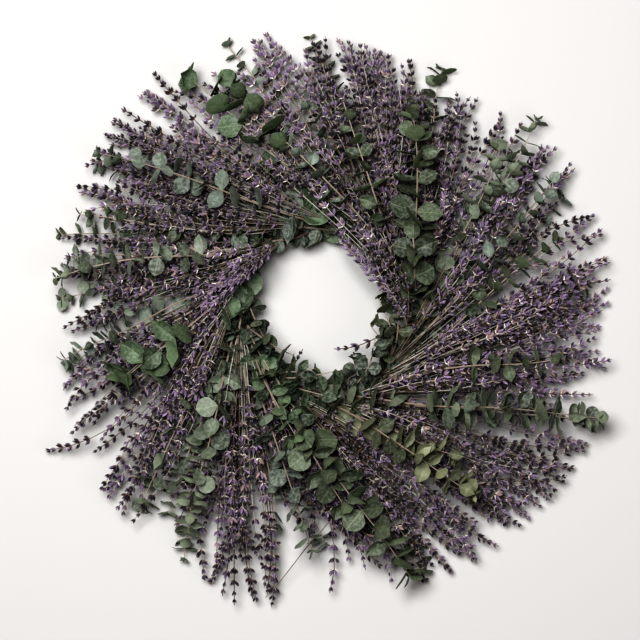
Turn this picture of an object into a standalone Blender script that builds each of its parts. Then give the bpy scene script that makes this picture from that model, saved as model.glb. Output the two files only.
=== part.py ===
"""A lavender and eucalyptus wreath, laid flat: bunches bound round a crimped wire ring.

Every bunch is tied at a station on the ring and heads anticlockwise out to the rim, so
that the wreath turns like a pinwheel. A bunch is one solid: its stems, flower whorls or
leaves are set by a rule and joined with their roots sunk in. Angles are in degrees, read
anticlockwise from +X as seen from above.
"""

import math
import random
from collections import namedtuple

import bmesh
import bpy
import numpy as np
from mathutils import Matrix, Vector
from mathutils.bvhtree import BVHTree

MM = 0.001
SEED = 17
STEM_TRIES = 200
SPIKE_TRIES = 400
LEAF_TRIES = 30
GAP = 0.5 * MM
ROOT_GAP = 0.15 * MM
MERGE = 0.0015 * MM

# The crimped wire ring: low runs lie on the surface, crests leave room for the binding.
RING_RADIUS = 85 * MM
RING_WIRE = 4.0 * MM
CREST_LIFT = 2.6 * MM
STATIONS = 18
STATION_STEP = 360 / STATIONS
RING_SIDES = 6
# One crimp: shares of the way to the next station, with the lift there.
CRIMP = ((0, 1), (0.34, 0), (0.66, 0))

# The binding wire: one turn a station, round the ring and the handles that lie on it.
BINDING_WIRE = 1.2 * MM
BINDING_GAP = 0.35 * MM
BINDING_PITCH = 4.0 * MM
BINDING_LOW = 0.4 * MM
BINDING_UNDER = 2.2 * MM
BINDING_CORNER = 1.9 * MM

# The handles: the tied stem ends of a bunch, side by side in slots across the ring.
HANDLE_WIDTH = 4.0 * MM
HANDLE_HEIGHT = 5.0 * MM
HANDLE_LENGTH = 16 * MM
SLOT_PITCH = 4.3 * MM
HANDLE_BASE = RING_WIRE + CREST_LIFT + 0.3 * MM
HANDLE_AXIS = HANDLE_BASE + HANDLE_HEIGHT / 2
HANDLE_SECTION = ((1, 0.5), (0.6, 1), (-0.6, 1), (-1, 0.5), (-1, -1), (1, -1))
STEM_START = 0.3

# The open hole in the middle.
HOLE_RADIUS = 50 * MM
HOLE_HEIGHT = 120 * MM
HOLE_DEPTH = 10 * MM
HOLE_SIDES = 24

# A stem's curve in plan: how far it keeps the direction in which it leaves its tie, and
# from where it turns to the one in which it arrives, as shares of the straight way.
LEAVE_SHARE = 0.28
ARRIVE_SHARE = 0.36
PATH_SAMPLES = 40

# A lavender spike: radii of its bare stem at the root, where the fan has opened, and
# from mid-length on, then whorls of buds, close at the tip and apart below. A whorl is
# given by how far its bud tips are from the spike's tip, in mm, and by its spread
# against the widest.
SPIKE_ROOT = 0.6 * MM
SPIKE_OPENED = 1.035 * MM
SPIKE_STEM = 1.15 * MM
SPIKE_TIP = 0.8 * MM
FAN_OPEN = 0.15
MID_STEM = 0.45
WHORLS = ((48, 0.85), (31, 1.0), (17, 0.95), (5, 0.75))
WHORL_LENGTH = 5.6 * MM
WHORL_SPREAD = 5.2 * MM

# A eucalyptus leaf at its usual size, and its stem. The outline's points are shares of
# the length and of the width, from the root on the stem to the tip. Leaves and the
# steps between their pairs shrink toward the stem's tip.
LEAF_LENGTH = 24 * MM
LEAF_WIDTH = 21 * MM
LEAF_SIDE = ((0.26, 0.34), (0.68, 0.48))
LEAF_ROOT = 3.2 * MM
ROOT_BITE = 0.12 * MM
BARE_ROOT = 3.5 * MM
PAIR_STEP = 49 * MM
PAIR_CLOSING = 0.4
FIRST_PAIR = 26 * MM
LAST_PAIR = 4 * MM
TWIG = 1.7 * MM
TWIG_TAPER = 0.45
TWIG_ROOT = 1.0 * MM

# How a eucalyptus stem looks for room. Each try is looser than the last. Angles are in
# degrees and heights in mm; the first range of the arch holds for every try.
TWIG_LOSS = 0.15
TWIG_SWING = 4
TWIG_SPLAY = 4
TWIG_ARCH = (-6, 6)
TWIG_ARCH_LOOSE = (-26, 34)
TWIG_TIP = (-4, 6)
TWIG_TIP_LOW = 5.0
TWIG_BOW = (-6, 10)
TWIG_ROOTED = 0.08

# The same for a spike. Its place in the fan also sets its arch and tip height, and each
# bunch has three rows of spikes, one above the other.
SPIKE_LOSS = 0.2
SPIKE_SWING = 1.5
SPIKE_ARCH_LOOSE = (-34, 50)
SPIKE_TIP_RANGE = (-8, 8)
SPIKE_TIP_LOW = 8.0
SPIKE_BOW = (-5, 9)
SPIKE_SPLAY = (-4, 4)
FAN_ARCH = 12
FAN_TIP = 6
ROWS = 3
ROW_ARCH = 5
FAN_WIDTH_SHARE = 0.4
ROW_HEIGHT_SHARE = 0.3

# How a leaf hangs: pairs lie flat and stand crossed by turns, and lean forward. Angles
# are in degrees.
FLAT_ROLL = 12
RAISED_ROLL = 58
HANGING_ROLL = -22
ROLL_SPREAD = 10
LEAF_SPREAD = (0.92, 1.12)
LEAF_SHRINK = 0.4
LEAF_TAPER = 0.5
TAPER_FROM = 0.45
LEAF_SWEEP = (10, 30)
LEAF_TILT = 0.3
LEAF_FORWARD = 0.2

LEAF_ROUGHNESS = 0.75
WIRE_ROUGHNESS = 0.5

Bunch = namedtuple("Bunch", "name station start heading reach fan crown tip count")
Spray = namedtuple("Spray", "name station start heading reach crown tip leaf tint")
Leaf = namedtuple("Leaf", "root along front face size")

# Lavender: station, angle at which it leaves the ring, heading, reach in mm, half of
# the fan, height of the arch and of the tips in mm, and number of spikes.
LAVENDER = (
    Bunch("lavender_01", 17, -21, 112, 172, 10, 88, 46, 6),
    Bunch("lavender_02", 1, 15, 101, 264, 8, 66, 24, 7),
    Bunch("lavender_03", 2, 40, 125, 259, 12, 66, 22, 7),
    Bunch("lavender_04", 4, 75, 153, 274, 8, 62, 22, 6),
    Bunch("lavender_05", 5, 98, 172, 252, 9, 66, 24, 6),
    Bunch("lavender_06", 6, 118, 193, 248, 10, 62, 22, 6),
    Bunch("lavender_07", 6, 127, 217, 115, 8, 70, 52, 4),
    Bunch("lavender_08", 7, 150, 219, 254, 8, 66, 22, 6),
    Bunch("lavender_09", 8, 165, 242, 280, 9, 62, 24, 6),
    Bunch("lavender_10", 9, 187, 270, 303, 9, 66, 20, 7),
    Bunch("lavender_11", 10, 205, 290, 264, 7, 62, 24, 6),
    Bunch("lavender_12", 12, 235, 316, 284, 10, 64, 20, 7),
    Bunch("lavender_13", 13, 255, 341, 297, 7, 60, 20, 6),
    Bunch("lavender_14", 14, 278, 10, 281, 11, 66, 22, 7),
    Bunch("lavender_15", 15, 310, 34, 284, 8, 62, 22, 6),
    Bunch("lavender_16", 16, 330, 50, 271, 7, 66, 20, 6),
    Bunch("lavender_17", 0, 350, 74, 241, 9, 62, 22, 6),
)

# Eucalyptus: station, angle, heading, then reach and side angle of each stem, the arch
# and tip heights in mm, leaf size against the widest, and the tint of its leaves.
EUCALYPTUS = (
    Spray("eucalyptus_01", 0, -5, 85, ((262, -5), (220, 6)), 40, 14, 1.0, "deep"),
    Spray("eucalyptus_02", 1, 30, 111, ((249, 0), (190, 7)), 40, 12, 0.9, "deep"),
    Spray("eucalyptus_03", 2, 35, 126, ((285, 0), (200, -5)), 38, 12, 0.9, "blue"),
    Spray("eucalyptus_04", 3, 62, 138, ((238, 1), (200, -6)), 62, 26, 1.15, "bright"),
    Spray("eucalyptus_05", 4, 88, 164, ((241, 0), (190, 7)), 40, 14, 1.0, "blue"),
    Spray("eucalyptus_06", 5, 100, 179, ((257, 2), (200, -5)), 38, 12, 0.9, "deep"),
    Spray("eucalyptus_07", 6, 112, 190, ((245, 7), (225, -2)), 40, 16, 0.9, "grey"),
    Spray("eucalyptus_08", 7, 132, 209, ((235, 0), (190, -6)), 38, 12, 0.95, "blue"),
    Spray("eucalyptus_09", 7, 132, 220, ((150, 6), (135, 0)), 76, 54, 1.1, "bright"),
    Spray("eucalyptus_10", 8, 160, 245, ((251, 1), (205, 7)), 40, 12, 1.0, "grey"),
    Spray("eucalyptus_11", 9, 170, 256, ((270, 3), (231, -5)), 38, 12, 1.0, "grey"),
    Spray("eucalyptus_12", 10, 198, 287, ((223, 3), (190, -6)), 44, 18, 1.0, "blue"),
    Spray("eucalyptus_13", 10, 205, 300, ((110, 0), (90, 9)), 60, 46, 0.75, "bright"),
    Spray("eucalyptus_14", 11, 222, 306, ((260, 3), (214, -5)), 42, 14, 1.0, "deep"),
    Spray("eucalyptus_15", 13, 250, 332, ((202, 0), (170, 6)), 66, 44, 0.95, "pale"),
    Spray("eucalyptus_16", 13, 265, 353, ((289, 0), (225, 5)), 70, 30, 0.95, "grey"),
    Spray("eucalyptus_17", 15, 305, 20, ((231, 0), (180, 6)), 38, 14, 1.0, "deep"),
    Spray("eucalyptus_18", 16, 318, 46, ((247, 0), (200, 5)), 40, 14, 0.95, "blue"),
    Spray("eucalyptus_19", 17, 335, 58, ((272, 0), (225, 6)), 64, 24, 1.0, "grey"),
    Spray("collar_01", 0, 2, 106, ((92, 0),), 46, 36, 0.85, "grey"),
    Spray("collar_02", 2, 42, 146, ((90, 0),), 46, 36, 0.9, "bright"),
    Spray("collar_03", 4, 82, 184, ((88, 0),), 46, 36, 0.85, "grey"),
    Spray("collar_04", 5, 108, 210, ((86, 0),), 46, 36, 0.8, "blue"),
    Spray("collar_05", 8, 158, 262, ((90, 0),), 46, 36, 0.85, "grey"),
    Spray("collar_06", 9, 182, 286, ((90, 0),), 46, 36, 0.9, "deep"),
    Spray("collar_07", 11, 220, 322, ((90, 0),), 46, 36, 0.85, "bright"),
    Spray("collar_08", 14, 282, 26, ((92, 0),), 46, 36, 0.9, "grey"),
    Spray("collar_09", 16, 318, 62, ((92, 0),), 46, 36, 0.85, "pale"),
)

# Linear colours of the flowers, of the leaf tints and of the two green-coated wires.
COLOURS = {
    "lavender": (0.118, 0.075, 0.170),
    "deep": (0.060, 0.105, 0.060),
    "blue": (0.190, 0.260, 0.240),
    "bright": (0.110, 0.230, 0.085),
    "grey": (0.200, 0.240, 0.170),
    "pale": (0.370, 0.390, 0.150),
    "ring": (0.045, 0.060, 0.045),
    "binding": (0.060, 0.085, 0.050),
}


def direction(degrees):
    """Unit vector in the plan, at an angle from +X."""
    return Vector((math.cos(math.radians(degrees)), math.sin(math.radians(degrees)), 0))


def turned(heading, degrees):
    """A direction in the plan, turned anticlockwise."""
    return Matrix.Rotation(math.radians(degrees), 3, "Z") @ heading


def tube(rings, sides):
    """Skin rings of points into a closed tube; the first and last are filled."""
    points = [point for ring in rings for point in ring]
    faces = []
    for row in range(len(rings) - 1):
        for k in range(sides):
            a = row * sides + k
            b = row * sides + (k + 1) % sides
            faces.append((a, b, b + sides))
            faces.append((a, b + sides, a + sides))
    last = (len(rings) - 1) * sides
    for k in range(1, sides - 1):
        faces.append((0, k + 1, k))
        faces.append((last, last + k, last + k + 1))
    return points, faces


def ring_of_points(centre, along, radius, sides, turn=0.0):
    """Points round a centre, across the direction along, starting near the side."""
    side = along.cross(Vector((0, 0, 1))).normalized()
    over = side.cross(along).normalized()
    angles = [math.radians(turn) + 2 * math.pi * k / sides for k in range(sides)]
    # Seen from ahead the points run anticlockwise, so that the tube's faces point out.
    return [centre + radius * (math.cos(a) * side - math.sin(a) * over) for a in angles][::-1]


class Path:
    """A stem's line: a cubic curve in plan from the tie to the tip, arched in height."""

    def __init__(self, start, leave, tip, arrive, crown):
        span = (tip - start).length
        leaving = start + leave * span * LEAVE_SHARE
        arriving = tip - arrive * span * ARRIVE_SHARE
        self.points = (start, leaving, arriving, tip)
        self.crown = crown
        samples = [self.at(k / PATH_SAMPLES) for k in range(PATH_SAMPLES + 1)]
        self.length = sum((b - a).length for a, b in zip(samples, samples[1:]))

    def at(self, s):
        p0, p1, p2, p3 = self.points
        r = 1 - s
        point = r**3 * p0 + 3 * r * r * s * p1 + 3 * r * s * s * p2 + s**3 * p3
        point.z = r * r * p0.z + 2 * r * s * self.crown + s * s * p3.z
        return point

    def along(self, s):
        return (self.at(min(s + 0.01, 1)) - self.at(max(s - 0.01, 0))).normalized()


def station_frame(station):
    """Place on the ring's circle, outward direction and forward direction."""
    outward = direction(station * STATION_STEP)
    forward = direction(station * STATION_STEP + 90)
    return outward * RING_RADIUS, outward, forward


def slot_of(bunch, everything):
    """Bunches at one station lie side by side, the most outward heading outside."""
    mates = [other for other in everything if other.station == bunch.station]
    mates.sort(key=lambda other: (other.heading - other.station * STATION_STEP) % 360)
    return 1 - mates.index(bunch)


def handle_shape(station, slot):
    """The tied stem ends: a flat-sided stub that lies along the ring."""
    place, outward, forward = station_frame(station)
    centre = place + outward * slot * SLOT_PITCH + Vector((0, 0, HANDLE_AXIS))
    half_w = HANDLE_WIDTH / 2
    half_h = HANDLE_HEIGHT / 2
    rings = []
    for end in (-0.5, 0.5):
        middle = centre + forward * HANDLE_LENGTH * end
        ring = [middle + outward * x * half_w + Vector((0, 0, z * half_h)) for x, z in HANDLE_SECTION]
        rings.append(ring)
    return tube(rings, len(HANDLE_SECTION))


def handle_front(station, slot):
    """Where the stems leave the handle: a point inside its front end."""
    place, outward, forward = station_frame(station)
    centre = place + outward * slot * SLOT_PITCH + Vector((0, 0, HANDLE_AXIS))
    return centre + forward * HANDLE_LENGTH * STEM_START, outward, forward


def bunch_tip(bunch, reach, side_angle, height):
    """The tip that a stem reaches from where its bunch seems to leave the ring."""
    tip = direction(bunch.start) * RING_RADIUS + direction(bunch.heading + side_angle) * reach
    tip.z = height
    return tip


def spike_rings(path, turn):
    """Places along a spike, with the radius and the turn of each ring there."""
    rings = [(0.0, SPIKE_ROOT, 0), (FAN_OPEN, SPIKE_OPENED, 0), (MID_STEM, SPIKE_STEM, 0)]
    for k, (from_tip, grade) in enumerate(WHORLS):
        tips = 1 - from_tip * MM / path.length
        base = tips - WHORL_LENGTH / path.length
        rings.append((base, SPIKE_STEM, turn + 60 * k))
        rings.append((tips, WHORL_SPREAD * grade, turn + 60 * k))
    rings.append((1.0, SPIKE_TIP, turn + 20))
    return rings


def spike_shape(path, turn, grow=0.0, first=0.0):
    """A lavender spike; a first share above 0 leaves out its base, for the tests."""
    rings = []
    angle = 0
    for s, radius, target in spike_rings(path, turn):
        # A ring of three looks the same every 120 degrees. The twist is kept between
        # -50 and 70, because the tube's faces cross each other at -60.
        angle += 70 - (70 + angle - target) % 120
        if s >= first:
            rings.append(ring_of_points(path.at(s), path.along(s), radius + grow, 3, angle))
    return tube(rings, 3)


def pair_places(path):
    """Where a stem's leaf pairs grow, closer together toward its tip."""
    places = []
    at = FIRST_PAIR
    while at < path.length - LAST_PAIR:
        places.append(at / path.length)
        at += PAIR_STEP * (1 - PAIR_CLOSING * at / path.length)
    return places


def twig_rings(path):
    """Places of a stem's rings: a root, two rings for each leaf pair, and the tip."""
    half_root = LEAF_ROOT / 2 / path.length
    places = [0.0]
    for s in pair_places(path):
        places += [s - half_root, s + half_root]
    return places + [1.0]


def twig_points(path, s, grow=0.0):
    """A stem's three-sided section: its ridge on top, then the two lower corners."""
    along = path.along(s)
    side = along.cross(Vector((0, 0, 1))).normalized()
    over = side.cross(along).normalized()
    radius = (TWIG * (1 - TWIG_TAPER * s) if s else TWIG_ROOT) + grow
    centre = path.at(s)
    corners = [(math.cos(math.radians(a)), math.sin(math.radians(a))) for a in (90, 210, 330)]
    return [centre + radius * (x * side + y * over) for x, y in corners]


def twig_shape(path, grow=0.0, first=0.0):
    """A bare eucalyptus stem; a first share above 0 leaves out its base, for the tests."""
    return tube([twig_points(path, s, grow) for s in twig_rings(path) if s >= first], 3)


def leaf_rim(leaf, grow=0.0):
    """A leaf's rim, from its back edge round the tip to its front edge."""
    length = LEAF_LENGTH * leaf.size + grow
    width = LEAF_WIDTH * leaf.size + 2 * grow
    outline = [(forth, -across) for forth, across in LEAF_SIDE] + [(1, 0)] + list(LEAF_SIDE[::-1])
    rim = []
    for forth, across in outline:
        rim.append(leaf.root + leaf.along * length * forth + leaf.front * width * across)
    return rim


def leaf_room(leaf, root_edges, grow):
    """The room that a leaf needs: a plate, with the gap all round, for the tests.

    Root_edges holds the upper and the lower edge of the leaf's root on its stem.
    """
    rim = leaf_rim(leaf, grow)
    upper = [point + leaf.face * grow for point in root_edges[0][:1] + rim + root_edges[0][1:]]
    lower = [point - leaf.face * grow for point in root_edges[1][:1] + rim + root_edges[1][1:]]
    return tube([lower, upper], len(upper))


def leaf_blade(leaf, grow):
    """A leaf without the part next to its stem, as a plate with the gap all round."""
    loop = [leaf.root + leaf.along * BARE_ROOT] + leaf_rim(leaf, grow)
    return tube([[p - leaf.face * grow for p in loop], [p + leaf.face * grow for p in loop]], len(loop))


def splits_stem(leaf, edges):
    """Whether the leaf's plane runs between its upper and lower root edges."""
    above = min((point - leaf.root).dot(leaf.face) for point in edges[0])
    below = max((point - leaf.root).dot(leaf.face) for point in edges[1])
    return above > ROOT_BITE and below < -ROOT_BITE


def root_edges(path, s, corner):
    """The two edges of a stem's side face between the rings of a leaf pair."""
    half_root = LEAF_ROOT / 2 / path.length
    back = twig_points(path, s - half_root)
    front = twig_points(path, s + half_root)
    return [back[0], front[0]], [back[corner], front[corner]]


def sprig_shape(path, leaves):
    """A stem whose side faces open into leaves, all of one skin.

    Leaves is a dictionary: (number of the pair, side) gives the leaf, side 1 on the
    left and 2 on the right.
    """
    rings = [twig_points(path, s) for s in twig_rings(path)]
    points = [point for ring in rings for point in ring]
    faces = [(0, 1, 2)]
    for row in range(len(rings) - 1):
        a = row * 3
        faces += [(a + 1, a + 2, a + 5), (a + 1, a + 5, a + 4)]
        for corner in (1, 2):
            leaf = leaves.get(((row - 1) // 2, corner)) if row % 2 else None
            ridge_back, ridge_front = a, a + 3
            low_back, low_front = a + corner, a + 3 + corner
            if leaf is None:
                faces += [(ridge_back, ridge_front, low_front), (ridge_back, low_front, low_back)]
                continue
            first = len(points)
            points += leaf_rim(leaf)
            rim = list(range(first, len(points)))
            for back, front in ((ridge_back, ridge_front), (low_back, low_front)):
                faces.append((back, rim[0], front))
                faces += [(rim[k], rim[k + 1], front) for k in range(len(rim) - 1)]
            faces.append((low_back, ridge_back, rim[0]))
            faces.append((ridge_front, low_front, rim[-1]))
    last = (len(rings) - 1) * 3
    faces.append((last, last + 2, last + 1))
    return points, faces


class Thicket:
    """All that stands so far, so that a new piece can be kept clear of it."""

    def __init__(self):
        self.low = []
        self.high = []
        self.trees = []
        self.owners = []

    def add(self, shape, owner):
        points = np.array([tuple(p) for p in shape[0]])
        self.low.append(points.min(axis=0))
        self.high.append(points.max(axis=0))
        self.trees.append(BVHTree.FromPolygons(shape[0], shape[1]))
        self.owners.append(owner)

    def clear(self, shape, *skip):
        """Whether a shape touches nothing but what owners that start with skip hold."""
        points = np.array([tuple(p) for p in shape[0]])
        if points[:, 2].min() < GAP:
            return False
        near = (np.array(self.low) < points.max(axis=0)).all(axis=1)
        near &= (np.array(self.high) > points.min(axis=0)).all(axis=1)
        tree = None
        for k in np.flatnonzero(near):
            if self.owners[k].startswith(skip):
                continue
            tree = tree or BVHTree.FromPolygons(shape[0], shape[1])
            if tree.overlap(self.trees[k]):
                return False
        return True


def material(name, colour, roughness):
    """A plain surface of one colour."""
    new = bpy.data.materials.new(name)
    new.use_nodes = True
    shader = new.node_tree.nodes["Principled BSDF"]
    shader.inputs["Base Color"].default_value = (*colour, 1)
    shader.inputs["Roughness"].default_value = roughness
    shader.inputs["Metallic"].default_value = 0.0
    new.diffuse_color = (*colour, 1)
    return new


def add_object(name, shape, surface=None, collection=None):
    """A mesh object from points and faces, in the world's own frame."""
    mesh = bpy.data.meshes.new(name)
    mesh.from_pydata([tuple(p) for p in shape[0]], [], shape[1])
    bm = bmesh.new()
    bm.from_mesh(mesh)
    bmesh.ops.recalc_face_normals(bm, faces=bm.faces)
    bm.to_mesh(mesh)
    bm.free()
    if surface:
        mesh.materials.append(surface)
    new = bpy.data.objects.new(name, mesh)
    (collection or bpy.context.scene.collection).objects.link(new)
    return new


def fuse(name, shapes, surface):
    """Join a node's shapes into one solid and drop any scrap that hangs loose."""
    body = add_object(name, shapes[0], surface)
    repeats = bpy.data.collections.new(name + "_repeats")
    bpy.context.scene.collection.children.link(repeats)
    for k, shape in enumerate(shapes[1:]):
        add_object(f"{name}_repeat_{k}", shape, None, repeats)
    union = body.modifiers.new("union", "BOOLEAN")
    union.operation = "UNION"
    union.operand_type = "COLLECTION"
    union.solver = "EXACT"
    union.collection = repeats
    bpy.context.view_layer.update()
    graph = bpy.context.evaluated_depsgraph_get()
    joined = bpy.data.meshes.new_from_object(body.evaluated_get(graph))
    body.modifiers.clear()
    body.data = joined
    joined.name = name
    for repeat in list(repeats.objects):
        bpy.data.objects.remove(repeat)
    bpy.data.collections.remove(repeats)
    tidy_mesh(joined)
    joined.materials.clear()
    joined.materials.append(surface)
    return body


def tidy_mesh(mesh):
    """Triangulate, merge what coincides, and keep the largest connected body."""
    bm = bmesh.new()
    bm.from_mesh(mesh)
    bmesh.ops.triangulate(bm, faces=bm.faces)
    bmesh.ops.remove_doubles(bm, verts=bm.verts, dist=MERGE)
    bmesh.ops.dissolve_degenerate(bm, dist=MERGE, edges=bm.edges)
    bmesh.ops.triangulate(bm, faces=bm.faces)
    islands = islands_of(bm)
    for island in islands[1:]:
        bmesh.ops.delete(bm, geom=island, context="VERTS")
    bm.to_mesh(mesh)
    bm.free()


def islands_of(bm):
    """Connected groups of vertices, the largest first."""
    left = set(bm.verts)
    islands = []
    while left:
        stack = [left.pop()]
        island = list(stack)
        while stack:
            vertex = stack.pop()
            for edge in vertex.link_edges:
                other = edge.other_vert(vertex)
                if other in left:
                    left.remove(other)
                    island.append(other)
                    stack.append(other)
        islands.append(island)
    return sorted(islands, key=len, reverse=True)


def ring_shape():
    """The crimped ring: low at the middle of each run, lifted where it is bound."""
    rings = []
    half = RING_WIRE / 2
    for station in range(STATIONS):
        for share, lift in CRIMP:
            angle = (station + share) * STATION_STEP
            outward = direction(angle)
            centre = outward * RING_RADIUS + Vector((0, 0, half + lift * CREST_LIFT))
            ring = []
            for k in range(RING_SIDES):
                a = 2 * math.pi * k / RING_SIDES
                across = outward * math.cos(a) + Vector((0, 0, math.sin(a)))
                ring.append(centre + across * half / math.cos(math.pi / RING_SIDES))
            rings.append(ring)
    points = [p for ring in rings for p in ring]
    faces = []
    rows = len(rings)
    for row in range(rows):
        for k in range(RING_SIDES):
            a = row * RING_SIDES + k
            b = row * RING_SIDES + (k + 1) % RING_SIDES
            c = ((row + 1) % rows) * RING_SIDES + (k + 1) % RING_SIDES
            d = ((row + 1) % rows) * RING_SIDES + k
            faces.append((a, c, b))
            faces.append((a, d, c))
    return points, faces


def binding_shape():
    """The binding wire: under the crest, up, over the handles and on to the next."""
    half_wire = BINDING_WIRE / 2
    wide = SLOT_PITCH + HANDLE_WIDTH / 2 + BINDING_GAP + half_wire
    top = HANDLE_BASE + HANDLE_HEIGHT + BINDING_GAP + half_wire
    under = BINDING_LOW + half_wire
    crest = RING_WIRE + CREST_LIFT
    # One turn, seen along the ring: across, up, and the share of the pitch.
    turn = (
        (-BINDING_UNDER, under, -0.4),
        (BINDING_UNDER, under, -0.25),
        (wide, crest, -0.1),
        (wide, top - BINDING_CORNER, 0.0),
        (wide - BINDING_CORNER, top, 0.1),
        (BINDING_CORNER - wide, top, 0.25),
        (-wide, top - BINDING_CORNER, 0.35),
        (-wide, crest, 0.45),
    )
    line = []
    for station in range(STATIONS):
        place, outward, forward = station_frame(station)
        for out, up, share in turn:
            point = place + outward * out + forward * BINDING_PITCH * share + Vector((0, 0, up))
            line.append((point, forward))
    return wire_shape(line, half_wire, 3)


def wire_shape(line, radius, sides):
    """A tube along points; each comes with the direction from which its ring starts."""
    rings = []
    points = [point for point, _ in line]
    points = [points[0] * 2 - points[1]] + points + [points[-1] * 2 - points[-2]]
    for k, (point, start) in enumerate(line):
        before = (point - points[k]).normalized()
        after = (points[k + 2] - point).normalized()
        along = (before + after).normalized()
        across = (start - along * start.dot(along)).normalized()
        over = along.cross(across)
        angles = [2 * math.pi * j / sides for j in range(sides)]
        rings.append([point + radius * (math.cos(a) * across + math.sin(a) * over) for a in angles])
    return tube(rings, sides)


def hole_shape():
    """The hole's column, which nothing enters."""
    rings = []
    step = 360 / HOLE_SIDES
    for z in (-HOLE_DEPTH, HOLE_HEIGHT):
        up = Vector((0, 0, z))
        rings.append([direction(step * k) * HOLE_RADIUS + up for k in range(HOLE_SIDES)])
    return tube(rings, HOLE_SIDES)


def place_twigs(spray, slot, thicket, rng):
    """A spray's stems, each bent clear of what stands; returns their paths."""
    start, outward, forward = handle_front(spray.station, slot)
    mates = f"handles/{spray.station}/"
    own = spray.name + "/"
    paths = []
    for number, (reach_mm, side_angle) in enumerate(spray.reach):
        # Of two stems the first starts inside and turns inward, the second outside.
        side = 2 * number - 1 if len(spray.reach) > 1 else 0
        root = start + outward * TWIG_ROOT * side
        leave = turned(forward, -TWIG_SPLAY * side)
        for attempt in range(STEM_TRIES):
            loose = attempt / STEM_TRIES
            reach = reach_mm * MM * (1 - TWIG_LOSS * loose * rng.random())
            turn = side_angle + rng.uniform(-TWIG_SWING, TWIG_SWING) * (0.3 + loose)
            arch = spray.crown + rng.uniform(*TWIG_ARCH) + rng.uniform(*TWIG_ARCH_LOOSE) * loose
            tip_height = max(TWIG_TIP_LOW, spray.tip + rng.uniform(*TWIG_TIP) * (1 + loose))
            tip = bunch_tip(spray, reach, turn, tip_height * MM)
            arrive = direction(spray.heading + turn * 1.3 + rng.uniform(*TWIG_BOW))
            path = Path(root, leave, tip, arrive, arch * MM)
            apart = thicket.clear(twig_shape(path, GAP), own, mates)
            apart = apart and thicket.clear(twig_shape(path, ROOT_GAP), own, mates + spray.name)
            if apart and thicket.clear(twig_shape(path, GAP, TWIG_ROOTED)):
                paths.append(path)
                thicket.add(twig_shape(path), f"{spray.name}/twig/{number}")
                break
    return paths


def place_spike(bunch, slot, number, thicket, rng):
    """One lavender spike, bent clear of what stands; its shape, or None."""
    start, outward, forward = handle_front(bunch.station, slot)
    mates = f"handles/{bunch.station}/"
    # Share runs from -1 to 1 across the fan. Every third spike keeps its full reach.
    share = (number + 0.5) / bunch.count * 2 - 1
    row = number % ROWS - 1
    loss = SPIKE_LOSS if number % ROWS else SPIKE_LOSS / 10
    start = start - outward * share * HANDLE_WIDTH * FAN_WIDTH_SHARE
    start.z += row * HANDLE_HEIGHT * ROW_HEIGHT_SHARE
    for attempt in range(SPIKE_TRIES):
        loose = attempt / SPIKE_TRIES
        turn = bunch.fan * share + rng.uniform(-SPIKE_SWING, SPIKE_SWING) * (1 + 3 * loose)
        reach = bunch.reach * MM * (1 - loss * rng.random())
        arch = bunch.crown + FAN_ARCH * share + ROW_ARCH * row
        arch += rng.uniform(*SPIKE_ARCH_LOOSE) * loose
        tip_height = bunch.tip + FAN_TIP * share + rng.uniform(*SPIKE_TIP_RANGE) * (1 + loose)
        tip = bunch_tip(bunch, reach, turn, max(SPIKE_TIP_LOW, tip_height) * MM)
        arrive = direction(bunch.heading + turn * 1.2 + rng.uniform(*SPIKE_BOW))
        leave = turned(forward, bunch.fan * share * 0.8 + rng.uniform(*SPIKE_SPLAY) * loose)
        path = Path(start, leave, tip, arrive, arch * MM)
        angle = rng.uniform(0, 120)
        apart = thicket.clear(spike_shape(path, angle, GAP), bunch.name + "/", mates)
        if apart and thicket.clear(spike_shape(path, angle, ROOT_GAP), mates + bunch.name):
            thicket.add(spike_shape(path, angle), bunch.name + "/")
            return spike_shape(path, angle)
    return None


def place_leaf(spray, number, path, pair, corner, thicket, rng):
    """One leaf on a stem, turned or made smaller until it is clear, or None."""
    s = pair_places(path)[pair]
    along_stem = path.along(s)
    side = along_stem.cross(Vector((0, 0, 1))).normalized()
    over = side.cross(along_stem).normalized()
    outward = side if corner == 2 else -side
    roll = FLAT_ROLL
    if pair % 2:
        roll = RAISED_ROLL if (pair // 2 + corner) % 2 else HANGING_ROLL
    taper = 1 - LEAF_TAPER * max(0.0, (s - TAPER_FROM) / (1 - TAPER_FROM))
    edges = root_edges(path, s, corner)
    twigs = spray.name + "/twig"
    blades = spray.name + "/blade"
    rooms = spray.name + "/room"
    pair_room = f"{rooms}/{number}/{pair}/"
    for attempt in range(LEAF_TRIES):
        loose = attempt / LEAF_TRIES
        size = spray.leaf * taper * rng.uniform(*LEAF_SPREAD) * (1 - LEAF_SHRINK * loose)
        angle = math.radians(roll + rng.uniform(-ROLL_SPREAD, ROLL_SPREAD) * (1 + 5 * loose))
        sweep = math.radians(rng.uniform(*LEAF_SWEEP))
        out = math.cos(angle) * outward + math.sin(angle) * over
        along = (out * math.cos(sweep) + along_stem * math.sin(sweep)).normalized()
        tilt = Vector((rng.gauss(0, LEAF_TILT), rng.gauss(0, LEAF_TILT), 1.0))
        wish = tilt + along_stem * LEAF_FORWARD
        face = (wish - along * wish.dot(along)).normalized()
        front = along.cross(face)
        if front.dot(along_stem) < 0:
            front = -front
        leaf = Leaf(path.at(s), along, front, face, size)
        if not splits_stem(leaf, edges):
            continue
        free = thicket.clear(leaf_room(leaf, edges, GAP), twigs, blades, pair_room)
        if free and thicket.clear(leaf_blade(leaf, GAP / 2), rooms):
            thicket.add(leaf_room(leaf, edges, 0), pair_room)
            thicket.add(leaf_blade(leaf, GAP / 4), blades)
            return leaf
    return None


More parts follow.
